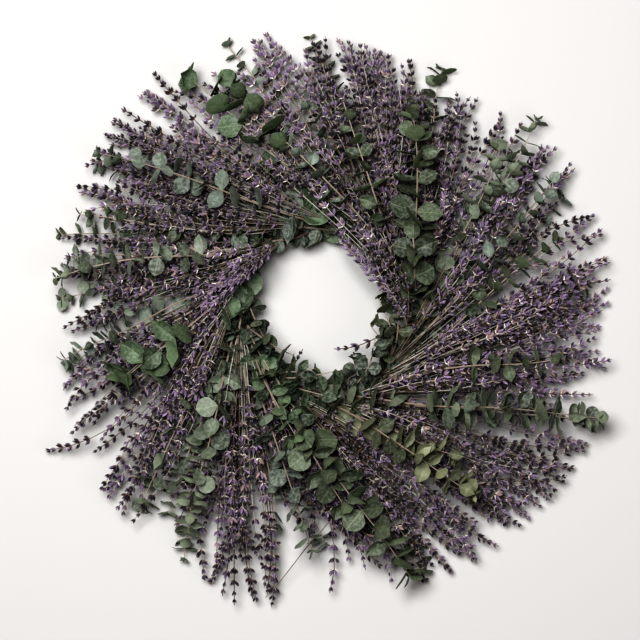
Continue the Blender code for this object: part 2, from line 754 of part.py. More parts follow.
def grow_lavender(slots, shapes, thicket, rng):
    """Let every bunch place a spike in turn, so that none takes all the room."""
    for number in range(max(bunch.count for bunch in LAVENDER)):
        for bunch in LAVENDER:
            if number < bunch.count:
                spike = place_spike(bunch, slots[bunch.name], number, thicket, rng)
                if spike:
                    shapes[bunch.name].append(spike)


def grow_leaves(twigs, shapes, thicket, rng):
    """Set the leaves of all stems in a mixed order, then skin each stem with its own."""
    growth = []
    for spray, number, path in twigs:
        for pair in range(len(pair_places(path))):
            for corner in (1, 2):
                growth.append((rng.random(), spray, number, path, pair, corner))
    growth.sort(key=lambda item: item[0])
    leaves = {}
    for _, spray, number, path, pair, corner in growth:
        leaf = place_leaf(spray, number, path, pair, corner, thicket, rng)
        if leaf:
            leaves.setdefault((spray.name, number), {})[(pair, corner)] = leaf
    kept = 0
    for spray, number, path in twigs:
        sprig, grown = sprig_with(path, leaves.get((spray.name, number), {}))
        shapes[spray.name].append(sprig)
        kept += grown
    print("leaves", kept, "of", len(growth))


def sprig_with(path, leaves):
    """A stem's skin with each of its leaves that doesn't make the skin cross itself."""
    kept = {}
    for place, leaf in leaves.items():
        if not crosses_itself(sprig_shape(path, {**kept, place: leaf})):
            kept[place] = leaf
    return sprig_shape(path, kept), len(kept)


def crosses_itself(shape):
    """Whether two faces that share no corner meet."""
    tree = BVHTree.FromPolygons(*shape)
    faces = shape[1]
    return any(a < b and not set(faces[a]) & set(faces[b]) for a, b in tree.overlap(tree))


def build():
    """Lay the ring, tie every bunch, then let spikes and leaves find their room."""
    rng = random.Random(SEED)
    thicket = Thicket()
    everything = LAVENDER + EUCALYPTUS
    slots = {bunch.name: slot_of(bunch, everything) for bunch in everything}
    shapes = {bunch.name: [handle_shape(bunch.station, slots[bunch.name])] for bunch in everything}
    thicket.add(ring_shape(), "ring")
    thicket.add(binding_shape(), "binding_wire")
    thicket.add(hole_shape(), "hole")
    for bunch in everything:
        thicket.add(shapes[bunch.name][0], f"handles/{bunch.station}/{bunch.name}")
    twigs = []
    for spray in EUCALYPTUS:
        for number, path in enumerate(place_twigs(spray, slots[spray.name], thicket, rng)):
            twigs.append((spray, number, path))
    grow_lavender(slots, shapes, thicket, rng)
    grow_leaves(twigs, shapes, thicket, rng)
    print("stems", len(twigs), "spikes", sum(len(shapes[bunch.name]) - 1 for bunch in LAVENDER))
    return shapes


def centre_on_origin():
    """Bring the wreath's box over the origin, its lowest point on the surface."""
    low = Vector((math.inf,) * 3)
    high = Vector((-math.inf,) * 3)
    for item in bpy.data.objects:
        for vertex in item.data.vertices:
            low = Vector(map(min, low, vertex.co))
            high = Vector(map(max, high, vertex.co))
    shift = Vector(((low.x + high.x) / 2, (low.y + high.y) / 2, low.z))
    for item in bpy.data.objects:
        item.data.transform(Matrix.Translation(-shift))
    print("size in mm", [round(v / MM, 1) for v in high - low])
    print("shift in mm", [round(v / MM, 2) for v in shift])


def main():
    for item in list(bpy.data.objects):
        bpy.data.objects.remove(item)
    surfaces = {}
    for name, colour in COLOURS.items():
        roughness = WIRE_ROUGHNESS if name in ("ring", "binding") else LEAF_ROUGHNESS
        surfaces[name] = material(name, colour, roughness)
    shapes = build()
    add_object("ring", ring_shape(), surfaces["ring"])
    add_object("binding_wire", binding_shape(), surfaces["binding"])
    for bunch in LAVENDER:
        fuse(bunch.name, shapes[bunch.name], surfaces["lavender"])
    for spray in EUCALYPTUS:
        fuse(spray.name, shapes[spray.name], surfaces[spray.tint])
    centre_on_origin()
    total = sum(len(item.data.polygons) for item in bpy.data.objects)
    print("nodes", len(bpy.data.objects), "triangles", total)


main()
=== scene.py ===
# %% [markdown]
# # A wreath of dried lavender and eucalyptus
# The real wreath is tied, not glued. Bunches of lavender and sprays of eucalyptus are
# laid on a wire ring one after another and bound with one long wire, so that each bunch
# hides the tie of the last. All of them point the same way round, and the wreath turns
# like a pinwheel. This script works in the same order: the frame, a studio, the
# finishes, one model of each small thing that repeats, and then the tying.

# %% Load the frame
import math
import random
from collections import namedtuple

import bmesh
import bpy
import numpy as np
from mathutils import Matrix, Vector
from mathutils.kdtree import KDTree


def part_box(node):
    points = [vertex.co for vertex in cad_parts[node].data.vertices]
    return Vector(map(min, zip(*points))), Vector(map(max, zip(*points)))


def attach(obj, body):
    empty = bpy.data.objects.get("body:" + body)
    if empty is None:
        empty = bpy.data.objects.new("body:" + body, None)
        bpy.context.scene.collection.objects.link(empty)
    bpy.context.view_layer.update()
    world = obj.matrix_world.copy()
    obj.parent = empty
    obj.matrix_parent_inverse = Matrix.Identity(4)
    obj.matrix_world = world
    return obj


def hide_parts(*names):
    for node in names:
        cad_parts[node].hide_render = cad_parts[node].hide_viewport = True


MM = 0.001
UP = Vector((0, 0, 1))
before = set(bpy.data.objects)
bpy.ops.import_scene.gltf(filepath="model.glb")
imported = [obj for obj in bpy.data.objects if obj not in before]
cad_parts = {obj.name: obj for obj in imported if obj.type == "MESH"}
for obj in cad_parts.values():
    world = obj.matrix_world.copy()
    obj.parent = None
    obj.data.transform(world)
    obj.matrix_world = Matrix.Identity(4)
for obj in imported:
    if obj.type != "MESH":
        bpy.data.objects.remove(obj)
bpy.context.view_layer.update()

# %% [markdown]
# ## The studio
# The photo looks straight down on the wreath. Its middle is a little left of and below
# the middle of the wreath's hole. One pixel of the photo is about one millimetre, so a
# long lens far above takes in 640 mm at the height of the foliage.

# %% Camera
PHOTO_SIDE = 640
PIXEL = 1.0 * MM
PHOTO_MIDDLE_FROM_HOLE = (-5, -9)
CAMERA_HEIGHT = 2.4
FOLIAGE_HEIGHT = 30 * MM

ring_low, ring_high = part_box("ring")
ring_middle = (ring_low + ring_high) / 2
ring_middle.z = 0

lens = bpy.data.cameras.new("studio_camera")
lens.lens = lens.sensor_width * (CAMERA_HEIGHT - FOLIAGE_HEIGHT) / (PHOTO_SIDE * PIXEL)
camera = bpy.data.objects.new("studio_camera", lens)
bpy.context.scene.collection.objects.link(camera)
across, upward = PHOTO_MIDDLE_FROM_HOLE
camera.location = ring_middle + Vector((across * PIXEL, upward * PIXEL, CAMERA_HEIGHT))
bpy.context.scene.camera = camera
print("lens in mm:", round(lens.lens, 1))

# %% [markdown]
# The light is soft and comes from above. Most of it is from a wide lamp a little to the
# upper left, which gives soft shadows. A weak one fills from the lower right, and a
# faint warm world keeps the depths brown.

# %% Lights
LAMPS = (
    # name, place in metres, side of the square lamp in metres, power in watts
    ("key", (-0.45, 0.55, 2.1), 1.1, 54),
    ("fill", (1.2, -0.6, 1.6), 1.4, 6),
)
WORLD_COLOUR = (1, 0.87, 0.76, 1)
WORLD_STRENGTH = 0.055
GAMMA = 0.92

for name, place, side, power in LAMPS:
    lamp = bpy.data.lights.new(name, "AREA")
    lamp.size = side
    lamp.energy = power
    holder = bpy.data.objects.new(name, lamp)
    holder.location = place
    holder.rotation_euler = (-Vector(place)).to_track_quat("-Z", "Y").to_euler()
    bpy.context.scene.collection.objects.link(holder)

world = bpy.data.worlds.new("studio_world")
world.use_nodes = True
backdrop = world.node_tree.nodes["Background"]
backdrop.inputs["Color"].default_value = WORLD_COLOUR
backdrop.inputs["Strength"].default_value = WORLD_STRENGTH
bpy.context.scene.world = world
bpy.context.scene.view_settings.view_transform = "Standard"
bpy.context.scene.view_settings.look = "Very High Contrast"
bpy.context.scene.view_settings.gamma = GAMMA
print("lamps:", len(LAMPS))

# %% [markdown]
# ## Finishes
# Every material starts from what the real one is. Colours are written as sRGB hex
# values, as a picker shows them, and one function turns them to the linear values that
# shaders work with. The other helpers add a node each, with its settings and its feeds.

# %% Material helpers


def linear(hex_colour):
    """An sRGB hex colour as linear red, green, blue and alpha."""
    channels = []
    for k in (1, 3, 5):
        share = int(hex_colour[k : k + 2], 16) / 255
        if share <= 0.04045:
            channels.append(share / 12.92)
        else:
            channels.append(((share + 0.055) / 1.055) ** 2.4)
    return (*channels, 1)


def add_node(surface, kind, sockets=None, **settings):
    """Add a node. Settings are its options, sockets a value or a feed for each input."""
    node = surface.node_tree.nodes.new(kind)
    for name, value in settings.items():
        setattr(node, name, value)
    for name, value in (sockets or {}).items():
        if isinstance(value, bpy.types.NodeSocket):
            surface.node_tree.links.new(value, node.inputs[name])
        else:
            node.inputs[name].default_value = value
    return node


def new_finish(name, roughness, sheen=0.0):
    """A material with a Principled shader; sheen is the shine of fine hairs."""
    surface = bpy.data.materials.new(name)
    surface.use_nodes = True
    shader = surface.node_tree.nodes["Principled BSDF"]
    shader.inputs["Roughness"].default_value = roughness
    shader.inputs["Sheen Weight"].default_value = sheen
    shader.inputs["Sheen Roughness"].default_value = 0.5
    return surface, shader


def mixed(surface, share, first, second):
    """The colour between two, by a share; each is a hex value or an output."""
    # The node's inputs 6 and 7 and its output 2 are the ones for colours.
    ends = [linear(end) if isinstance(end, str) else end for end in (first, second)]
    sockets = {"Factor": share, 6: ends[0], 7: ends[1]}
    return add_node(surface, "ShaderNodeMix", sockets, data_type="RGBA").outputs[2]


def ranged(surface, value, low, high, to_low=0.0, to_high=1.0):
    """A value that goes smoothly from one limit to the other, and no further."""
    limits = {"From Min": low, "From Max": high, "To Min": to_low, "To Max": to_high}
    sockets = {"Value": value, **limits}
    node = add_node(surface, "ShaderNodeMapRange", sockets, interpolation_type="SMOOTHSTEP")
    return node.outputs["Result"]


def worked_out(surface, operation, first, second=0.0):
    """The result of one sum on one or two values."""
    sockets = {0: first, 1: second}
    return add_node(surface, "ShaderNodeMath", sockets, operation=operation).outputs[0]


def carried(surface, name):
    """A value that each point of a mesh carries."""
    return add_node(surface, "ShaderNodeAttribute", attribute_name=name).outputs["Fac"]


def mottle(surface, size, detail=2):
    """A value that wanders between 0 and 1, in patches of about a size."""
    place = add_node(surface, "ShaderNodeTexCoord").outputs["Object"]
    sockets = {"Vector": place, "Scale": 1 / size, "Detail": detail}
    return add_node(surface, "ShaderNodeTexNoise", sockets).outputs["Fac"]


def wear(surface, shader, colour):
    """Give a shader its colour."""
    surface.node_tree.links.new(colour, shader.inputs["Base Color"])


# %% [markdown]
# Dried lavender: the flower buds are small ribbed tubes with a felt of fine hairs, so
# they are matte with a faint sheen. The foot is a brownish grey and the mouth is pale,
# and between them each bud has dried to its own shade, from violet to dull brown. A
# value that each bud carries, its tone, picks how light the bud is and, by its finer
# part, how brown. Another, along, runs from its foot to its tip.

# %% Lavender finishes
PETAL_GRAIN = 0.9 * MM
CAST_TURNS = 23

calyx, shader = new_finish("dried_lavender_calyx", 0.85, sheen=0.25)
tone = carried(calyx, "tone")
along = carried(calyx, "along")
cast = worked_out(calyx, "MULTIPLY", tone, CAST_TURNS)
cast = worked_out(calyx, "PINGPONG", cast, 1.0)
depth = ranged(calyx, tone, 0.15, 1.05)
violet = mixed(calyx, depth, "#1d1321", "#a892b0")
brown = mixed(calyx, depth, "#2a1a12", "#ae9a8a")
body = mixed(calyx, ranged(calyx, cast, 0.72, 1.0, 0, 0.85), violet, brown)
mouth = mixed(calyx, ranged(calyx, tone, 0.35, 0.45), "#cfc8c3", "#b6abc0")
body = mixed(calyx, ranged(calyx, along, 0.6, 1.0, 0, 0.5), body, mouth)
body = mixed(calyx, ranged(calyx, along, 0.0, 0.35, 0.55, 0), body, "#6c5a48")
grain = ranged(calyx, mottle(calyx, PETAL_GRAIN), 0.35, 0.7, 0.35, 0)
wear(calyx, shader, mixed(calyx, grain, body, "#1f1a26"))

bract, shader = new_finish("dried_bract", 0.8)
wear(bract, shader, mixed(bract, carried(bract, "tone"), "#62482f", "#dcd9d4"))

# %% [markdown]
# The stems are straw: dry, tough stalks that have gone from green to tan, browner
# where they were shaded. Each stalk has its own tone, and browner blotches a few
# millimetres long break it up.

# %% Straw
BLOTCH = 6 * MM

straw, shader = new_finish("dried_lavender_straw", 0.7)
stalk = mixed(straw, carried(straw, "tone"), "#433424", "#c0bcb6")
blotches = ranged(straw, mottle(straw, BLOTCH, 3), 0.4, 0.75, 0, 0.6)
wear(straw, shader, mixed(straw, blotches, stalk, "#6f5833"))

# %% [markdown]
# Preserved eucalyptus: a firm leaf under a thin wax bloom. The bloom scatters light, so
# the leaf is matte and looks dusted with blue-grey where it hasn't been rubbed off. The
# midrib and the side veins are paler. The leaf's own flat map gives them, with the root
# at v 0 and the tip at v 1. Sprays differ in tint, so one recipe takes two leaf colours:
# a lit one and one in painted shade. Each leaf's tone picks between them, so a leaf's
# colour is partly its own and partly painted light and shade.

# %% Eucalyptus finishes
BLOOM_PATCH = 3 * MM
VEINS = 11
VEIN_SLOPE = 1.1
VEIN_RELIEF = 0.15 * MM
TINTS = {
    # tint: leaf colour in painted shade, lit leaf colour, share of bloom
    "deep": ("#1c2017", "#5b644f", 0.35),
    "blue": ("#252a26", "#757e76", 0.5),
    "bright": ("#1e261b", "#5f7056", 0.4),
    "grey": ("#232820", "#747b6d", 0.5),
    "pale": ("#3c3e30", "#85866b", 0.35),
}


def leaf_finish(tint, shaded, lit_leaf, bloom_share):
    """The upper face of a leaf."""
    leaf, shader = new_finish("eucalyptus_leaf_" + tint, 0.62)
    flat = add_node(leaf, "ShaderNodeTexCoord").outputs["UV"]
    split = add_node(leaf, "ShaderNodeSeparateXYZ", {0: flat}).outputs
    offside = worked_out(leaf, "ABSOLUTE", worked_out(leaf, "SUBTRACT", split["X"], 0.5))
    slope = worked_out(leaf, "MULTIPLY", offside, VEIN_SLOPE)
    climb = worked_out(leaf, "SUBTRACT", split["Y"], slope)
    steps = worked_out(leaf, "MULTIPLY", climb, VEINS)
    steps = worked_out(leaf, "PINGPONG", steps, 1.0)
    side_veins = ranged(leaf, steps, 0.0, 0.22, 0.12, 0)
    midrib = ranged(leaf, offside, 0.004, 0.03, 0.4, 0)
    veins = worked_out(leaf, "MAXIMUM", side_veins, midrib)
    bloom = ranged(leaf, mottle(leaf, BLOOM_PATCH, 4), 0.36, 0.7, 0, bloom_share)
    # Painted light and shade: the tone picks between the shaded and the lit leaf colour.
    colour = mixed(leaf, carried(leaf, "tone"), shaded, lit_leaf)
    colour = mixed(leaf, bloom, colour, "#979e95")
    wear(leaf, shader, mixed(leaf, veins, colour, "#9aa48b"))
    relief = {"Height": veins, "Strength": 0.5, "Distance": VEIN_RELIEF}
    bump = add_node(leaf, "ShaderNodeBump", relief)
    leaf.node_tree.links.new(bump.outputs["Normal"], shader.inputs["Normal"])
    return leaf


def leaf_back_finish(tint, shaded, lit_leaf, bloom_share):
    """The underside and rim of a leaf: duller, with bloom all over and no veins."""
    back, shader = new_finish("eucalyptus_leaf_back_" + tint, 0.8)
    bloom = ranged(back, mottle(back, BLOOM_PATCH, 4), 0.35, 0.7, 0.1, bloom_share)
    # Painted light and shade: the tone picks between the shaded and the lit leaf colour.
    colour = mixed(back, carried(back, "tone"), shaded, lit_leaf)
    wear(back, shader, mixed(back, bloom, colour, "#8d937f"))
    return back


leaf_faces = {tint: leaf_finish(tint, *recipe) for tint, recipe in TINTS.items()}
leaf_backs = {tint: leaf_back_finish(tint, *recipe) for tint, recipe in TINTS.items()}

twig, shader = new_finish("eucalyptus_twig_bark", 0.65)
bark = mixed(twig, carried(twig, "along"), "#75655a", "#aea598")
wear(twig, shader, mixed(twig, carried(twig, "tone"), bark, "#8f8378"))
print("leaf tints:", list(TINTS))

# %% [markdown]
# Florist's wire is steel with a thin coat of dark green paint, dull and smooth.

# %% Wire
PAINT_SPECK = 2 * MM

wire, shader = new_finish("green_painted_wire", 0.45)
specks = ranged(wire, mottle(wire, PAINT_SPECK), 0.4, 0.7)
wear(wire, shader, mixed(wire, specks, "#2c3a2c", "#445240"))
for node in ("ring", "binding_wire"):
    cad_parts[node].data.materials.clear()
    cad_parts[node].data.materials.append(wire)

# %% [markdown]
# ## Small things, modelled once
# A wreath like this has tens of thousands of buds and well over a thousand leaves. Each
# kind is modelled once or in a few versions, with few faces, and copied later. Faces
# and points to work on are picked by their place, because a script can't click on them.

# %% Modelling helpers


def start_edit():
    """Deselect everything, so that what is added next is selected alone."""
    bpy.ops.object.select_all(action="DESELECT")


def pick(wanted, kind="faces"):
    """In edit mode, select only the faces or points whose middle passes a test."""
    item = bpy.context.edit_object
    bpy.ops.mesh.select_mode(type="VERT" if kind == "verts" else "FACE")
    shape = bmesh.from_edit_mesh(item.data)
    bpy.ops.mesh.select_all(action="DESELECT")
    for element in getattr(shape, kind):
        middle = element.co if kind == "verts" else element.calc_center_median()
        if wanted(middle):
            element.select = True
    shape.select_flush_mode()
    bmesh.update_edit_mesh(item.data)


Model = namedtuple("Model", "points corners sizes slots flat along tone")


def read_values(elements, name, kind=int, each=1):
    """A value, or a few, of every point, corner or face of a mesh."""
    values = np.empty(len(elements) * each, kind)
    elements.foreach_get(name, values)
    return values


def read_model(item):
    """A modelled object's mesh as arrays, ready to be copied many times."""
    mesh = item.data
    points = read_values(mesh.vertices, "co", float, 3).reshape(-1, 3)
    corners = read_values(mesh.loops, "vertex_index")
    sizes = read_values(mesh.polygons, "loop_total")
    slots = read_values(mesh.polygons, "material_index")
    flat = np.zeros(len(mesh.loops) * 2)
    if mesh.uv_layers:
        mesh.uv_layers[0].uv.foreach_get("vector", flat)
    values = {}
    for name in ("along", "tone"):
        values[name] = np.zeros(len(points))
        if name in mesh.attributes:
            mesh.attributes[name].data.foreach_get("value", values[name])
    bpy.data.objects.remove(item)
    return Model(points, corners, sizes, slots, flat.reshape(-1, 2), values["along"], values["tone"])


def write_value(item, name, values):
    """Give every point of a mesh a value of its own."""
    attribute = item.data.attributes.get(name) or item.data.attributes.new(name, "FLOAT", "POINT")
    attribute.data.foreach_set("value", np.asarray(values, np.float32))


def triangles(model):
    """How many triangles a model has."""
    return int((model.sizes - 2).sum())


# %% [markdown]
# A lavender bud is a narrow tube that swells toward a small closed mouth. It starts as
# a cone that stands on its point. The wide end is extruded and drawn in, and the last
# face is poked and raised, which closes the mouth to a blunt point.

# %% Bud
BUD_SIDES = 4
BUD_BELLY = 1.4 * MM
BUD_BELLY_AT = 3.4 * MM
BUD_MOUTH_AT = 6.0 * MM
BUD_LENGTH = 7.2 * MM
MOUTH_SHARE = 0.6
WIDE_END_FROM = 0.9


def model_bud():
    """One bud on its foot at the origin, pointing up."""
    start_edit()
    middle = (0, 0, BUD_BELLY_AT / 2)
    bpy.ops.mesh.primitive_cone_add(
        vertices=BUD_SIDES, radius1=0, radius2=BUD_BELLY, depth=BUD_BELLY_AT, location=middle
    )
    bud = bpy.context.active_object
    bpy.ops.object.transform_apply(location=True)
    bpy.ops.object.mode_set(mode="EDIT")
    pick(lambda place: place.z > BUD_BELLY_AT * WIDE_END_FROM)
    raised = {"value": (0, 0, BUD_MOUTH_AT - BUD_BELLY_AT)}
    bpy.ops.mesh.extrude_region_move(TRANSFORM_OT_translate=raised)
    drawn_in = (MOUTH_SHARE, MOUTH_SHARE, 1)
    bpy.ops.transform.resize(value=drawn_in, center_override=(0, 0, BUD_MOUTH_AT))
    bpy.ops.mesh.poke(offset=BUD_LENGTH - BUD_MOUTH_AT)
    bpy.ops.object.mode_set(mode="OBJECT")
    bpy.ops.object.shade_smooth()
    write_value(bud, "along", [max(0.0, point.co.z) / BUD_LENGTH for point in bud.data.vertices])
    return bud


# %% [markdown]
# Buds sit on the stalk in whorls, here rings of four or five, with a few papery bracts
# among them. Each bud and bract is turned round the stalk, leaned outward and given its
# own size and tone. Three kinds of whorl differ in how open they are: a tight one for
# the tip, a full one, and a loose one for lower down. Each kind has four versions.

# %% Whorls
STALK = 0.4 * MM
BRACT_WIDTH = 1.8 * MM
BRACT_LENGTH = 4.6 * MM
WHORLS = {
    # name: number of buds, lean from the stalk in degrees, size, bracts
    "tip": (4, 24, 0.85, 1),
    "full": (5, 38, 1.0, 4),
    "loose": (4, 46, 0.95, 3),
}
VARIANTS = 4
TONE_SPREAD = 0.3
AROUND_SPREAD = 25
LEAN_SPREAD = (0.65, 1.35)
SIZE_SPREAD = (0.82, 1.12)
BRACT_START = 50
BRACT_STEP = 180
BRACT_LEAN = 25
BRACT_FLATNESS = 0.4
FOOT_GAP = 0.2 * MM
chance = random.Random(5)


def model_bract():
    """A flattened three-sided spike, pointing up, with its foot at the origin."""
    start_edit()
    bpy.ops.mesh.primitive_cone_add(
        vertices=3, radius1=BRACT_WIDTH / 2, radius2=0, depth=BRACT_LENGTH
    )
    scale = bpy.context.active_object
    scale.scale = (1, BRACT_FLATNESS, 1)
    scale.location = (0, 0, BRACT_LENGTH / 2)
    bpy.ops.object.transform_apply(location=True, scale=True)
    write_value(scale, "along", [point.co.z / BRACT_LENGTH for point in scale.data.vertices])
    return scale


def model_whorl(count, lean, size, bracts):
    """A ring of buds round a stalk that points up, with its foot at the origin."""
    members = []
    for k in range(count + bracts):
        is_bud = k < count
        item = model_bud() if is_bud else model_bract()
        item.data.materials.append(calyx if is_bud else bract)
        tone = chance.uniform(-TONE_SPREAD, TONE_SPREAD)
        write_value(item, "tone", [tone] * len(item.data.vertices))
        around = 360 * k / count if is_bud else BRACT_STEP * (k - count) + BRACT_START
        around = math.radians(around + chance.uniform(-AROUND_SPREAD, AROUND_SPREAD))
        tilt = math.radians(lean * chance.uniform(*LEAN_SPREAD) + (0 if is_bud else BRACT_LEAN))
        grow = size * chance.uniform(*SIZE_SPREAD)
        turn = Matrix.Rotation(around, 4, "Z") @ Matrix.Rotation(tilt, 4, "Y")
        foot = Matrix.Translation(turn.to_3x3() @ Vector((0, 0, FOOT_GAP)))
        out = Matrix.Translation((STALK * math.cos(around), STALK * math.sin(around), 0))
        item.data.transform(out @ foot @ turn @ Matrix.Scale(grow, 4))
        members.append(item)
    start_edit()
    for item in members:
        item.select_set(True)
    bpy.context.view_layer.objects.active = members[0]
    bpy.ops.object.join()
    return read_model(members[0])


whorls = {}
for name, recipe in WHORLS.items():
    whorls[name] = [model_whorl(*recipe) for _ in range(VARIANTS)]
print("whorl triangles:", {name: triangles(group[0]) for name, group in whorls.items()})

# %% [markdown]
# A eucalyptus leaf of this kind is nearly round. It starts as a filled circle. Its face
# is inset and poked, which gives a rim, an inner ring and a middle. The rim then goes up
# for the cup and the middle line down for the fold, the tip is drawn out, the foot
# narrowed, and Solidify gives the blade its thickness. The back gets a finish of its
# own, so that the two faces can differ.

# %% Leaf
LEAF_LENGTH = 20 * MM
LEAF_THICKNESS = 0.3 * MM
LEAF_SIDES = 16
INNER_RING = 0.2
MIDDLE_LINE = 0.1 * MM
FOOT_WIDTH = 0.72
# Where parts of the leaf begin or end, as shares of its length from the root. The rim
# is given by its distance from the middle instead.
RIM_FROM = 0.45
ROOT_TO = 0.02
FOOT_TO = 0.15
TIP_FROM = 0.8
POINT_FROM = 0.98
LEAVES = {
    # name: width, cup, fold, rise of the tip and length of its point, against length
    "round": (1.0, 0.05, 0.03, -0.03, 0.03),
    "cupped": (0.84, 0.14, 0.05, 0.1, 0.12),
    "folded": (0.7, 0.2, 0.02, -0.1, 0.14),
    "flat": (0.9, 0.01, 0.035, -0.08, 0.07),
}


def model_leaf(width, cup, fold, rise, point):
    """A leaf with its root at the origin and its tip at +Y, its upper face up."""
    start_edit()
    middle = Vector((0, LEAF_LENGTH / 2, 0))
    bpy.ops.mesh.primitive_circle_add(
        vertices=LEAF_SIDES, radius=LEAF_LENGTH / 2, fill_type="NGON", location=middle
    )
    leaf = bpy.context.active_object
    bpy.ops.object.transform_apply(location=True)
    bpy.ops.object.mode_set(mode="EDIT")
    bpy.ops.mesh.inset(thickness=LEAF_LENGTH * INNER_RING)
    bpy.ops.mesh.poke()
    for wanted, move in (
        (lambda place: (place - middle).length > LEAF_LENGTH * RIM_FROM, (0, 0, cup)),
        (lambda place: abs(place.x) < MIDDLE_LINE, (0, 0, -fold)),
        (lambda place: place.y > LEAF_LENGTH * TIP_FROM, (0, 0, rise)),
        (lambda place: place.y > LEAF_LENGTH * POINT_FROM, (0, point, rise / 2)),
        (lambda place: place.y < LEAF_LENGTH * ROOT_TO, (0, 0, -cup)),
    ):
        pick(wanted, "verts")
        bpy.ops.transform.translate(value=[LEAF_LENGTH * share for share in move])
    pick(lambda place: place.y < LEAF_LENGTH * FOOT_TO, "verts")
    bpy.ops.transform.resize(value=(FOOT_WIDTH, 1, 1), center_override=(0, 0, 0))
    bpy.ops.mesh.select_all(action="SELECT")
    bpy.ops.transform.resize(value=(width, 1, 1), center_override=(0, 0, 0))
    bpy.ops.object.mode_set(mode="OBJECT")
    thickness = leaf.modifiers.new("thickness", "SOLIDIFY")
    thickness.thickness = LEAF_THICKNESS
    thickness.material_offset = 1
    thickness.material_offset_rim = 1
    leaf.data.materials.append(leaf_faces["deep"])
    leaf.data.materials.append(leaf_backs["deep"])
    bpy.ops.object.modifier_apply(modifier="thickness")
    bpy.ops.object.shade_smooth()
    write_value(leaf, "along", [point.co.y / LEAF_LENGTH for point in leaf.data.vertices])
    return read_model(leaf)


leaves = {name: model_leaf(*recipe) for name, recipe in LEAVES.items()}
print("leaf triangles:", {name: triangles(leaf) for name, leaf in leaves.items()})

# %% [markdown]
# A stalk is modelled once as a straight stick one unit long, cut into even rings by
# bisecting it. Copying it then means placing each ring on a point of the stem's line.
# Lavender stalks are square, so four sides are true to life, and eucalyptus gets five.

# %% Stalks


def model_stick(sides, segments):
    """A stick of radius 1 from z 0 to z 1, with evenly spaced rings."""
    start_edit()
    bpy.ops.mesh.primitive_cylinder_add(vertices=sides, radius=1, depth=1, location=(0, 0, 0.5))
    stick = bpy.context.active_object
    bpy.ops.object.transform_apply(location=True)
    bpy.ops.object.mode_set(mode="EDIT")
    for k in range(1, segments):
        bpy.ops.mesh.select_all(action="SELECT")
        bpy.ops.mesh.bisect(plane_co=(0, 0, k / segments), plane_no=(0, 0, 1))
    bpy.ops.object.mode_set(mode="OBJECT")
    bpy.ops.object.shade_smooth()
    write_value(stick, "along", [point.co.z for point in stick.data.vertices])
    return read_model(stick)


STALK_SEGMENTS = 13
TWIG_SEGMENTS = 18
sticks = {"stalk": model_stick(4, STALK_SEGMENTS), "twig": model_stick(5, TWIG_SEGMENTS)}
print("stick triangles:", {name: triangles(stick) for name, stick in sticks.items()})

# %% [markdown]
# ## Tying the wreath
# The plan is the frame's own: where each bunch is tied, the angle at which it seems to
# leave the ring, where it heads and how far it reaches. Angles are read anticlockwise
# from +X as seen from above, and lengths are in millimetres. A station is a step of 20
# degrees round the ring, a fan is half the angle over which a bunch opens, and each
# stem of a spray has a reach and an angle aside from the spray's heading.

# %% The plan
RING_RADIUS = 85 * MM
STATION_STEP = 20
SLOT_PITCH = 4.3 * MM
TIE_HEIGHT = 9.4 * MM

Bunch = namedtuple("Bunch", "name station start heading reach fan crown tip")
Spray = namedtuple("Spray", "name station start heading reach crown tip leaf tint")

LAVENDER = (
    Bunch("lavender_01", 17, -21, 112, 172, 10, 88, 46),
    Bunch("lavender_02", 1, 15, 101, 264, 8, 66, 24),
    Bunch("lavender_03", 2, 40, 125, 259, 12, 66, 22),
    Bunch("lavender_04", 4, 75, 153, 274, 8, 62, 22),
    Bunch("lavender_05", 5, 98, 172, 252, 9, 66, 24),
    Bunch("lavender_06", 6, 118, 193, 248, 10, 62, 22),
    Bunch("lavender_07", 6, 127, 217, 115, 8, 70, 52),
    Bunch("lavender_08", 7, 150, 219, 254, 8, 66, 22),
    Bunch("lavender_09", 8, 165, 242, 280, 9, 62, 24),
    Bunch("lavender_10", 9, 187, 270, 303, 9, 66, 20),
    Bunch("lavender_11", 10, 205, 290, 264, 7, 62, 24),
    Bunch("lavender_12", 12, 235, 316, 284, 10, 64, 20),
    Bunch("lavender_13", 13, 255, 341, 297, 7, 60, 20),
    Bunch("lavender_14", 14, 278, 10, 281, 11, 66, 22),
    Bunch("lavender_15", 15, 310, 34, 284, 8, 62, 22),
    Bunch("lavender_16", 16, 330, 50, 271, 7, 66, 20),
    Bunch("lavender_17", 0, 350, 74, 241, 9, 62, 22),
)
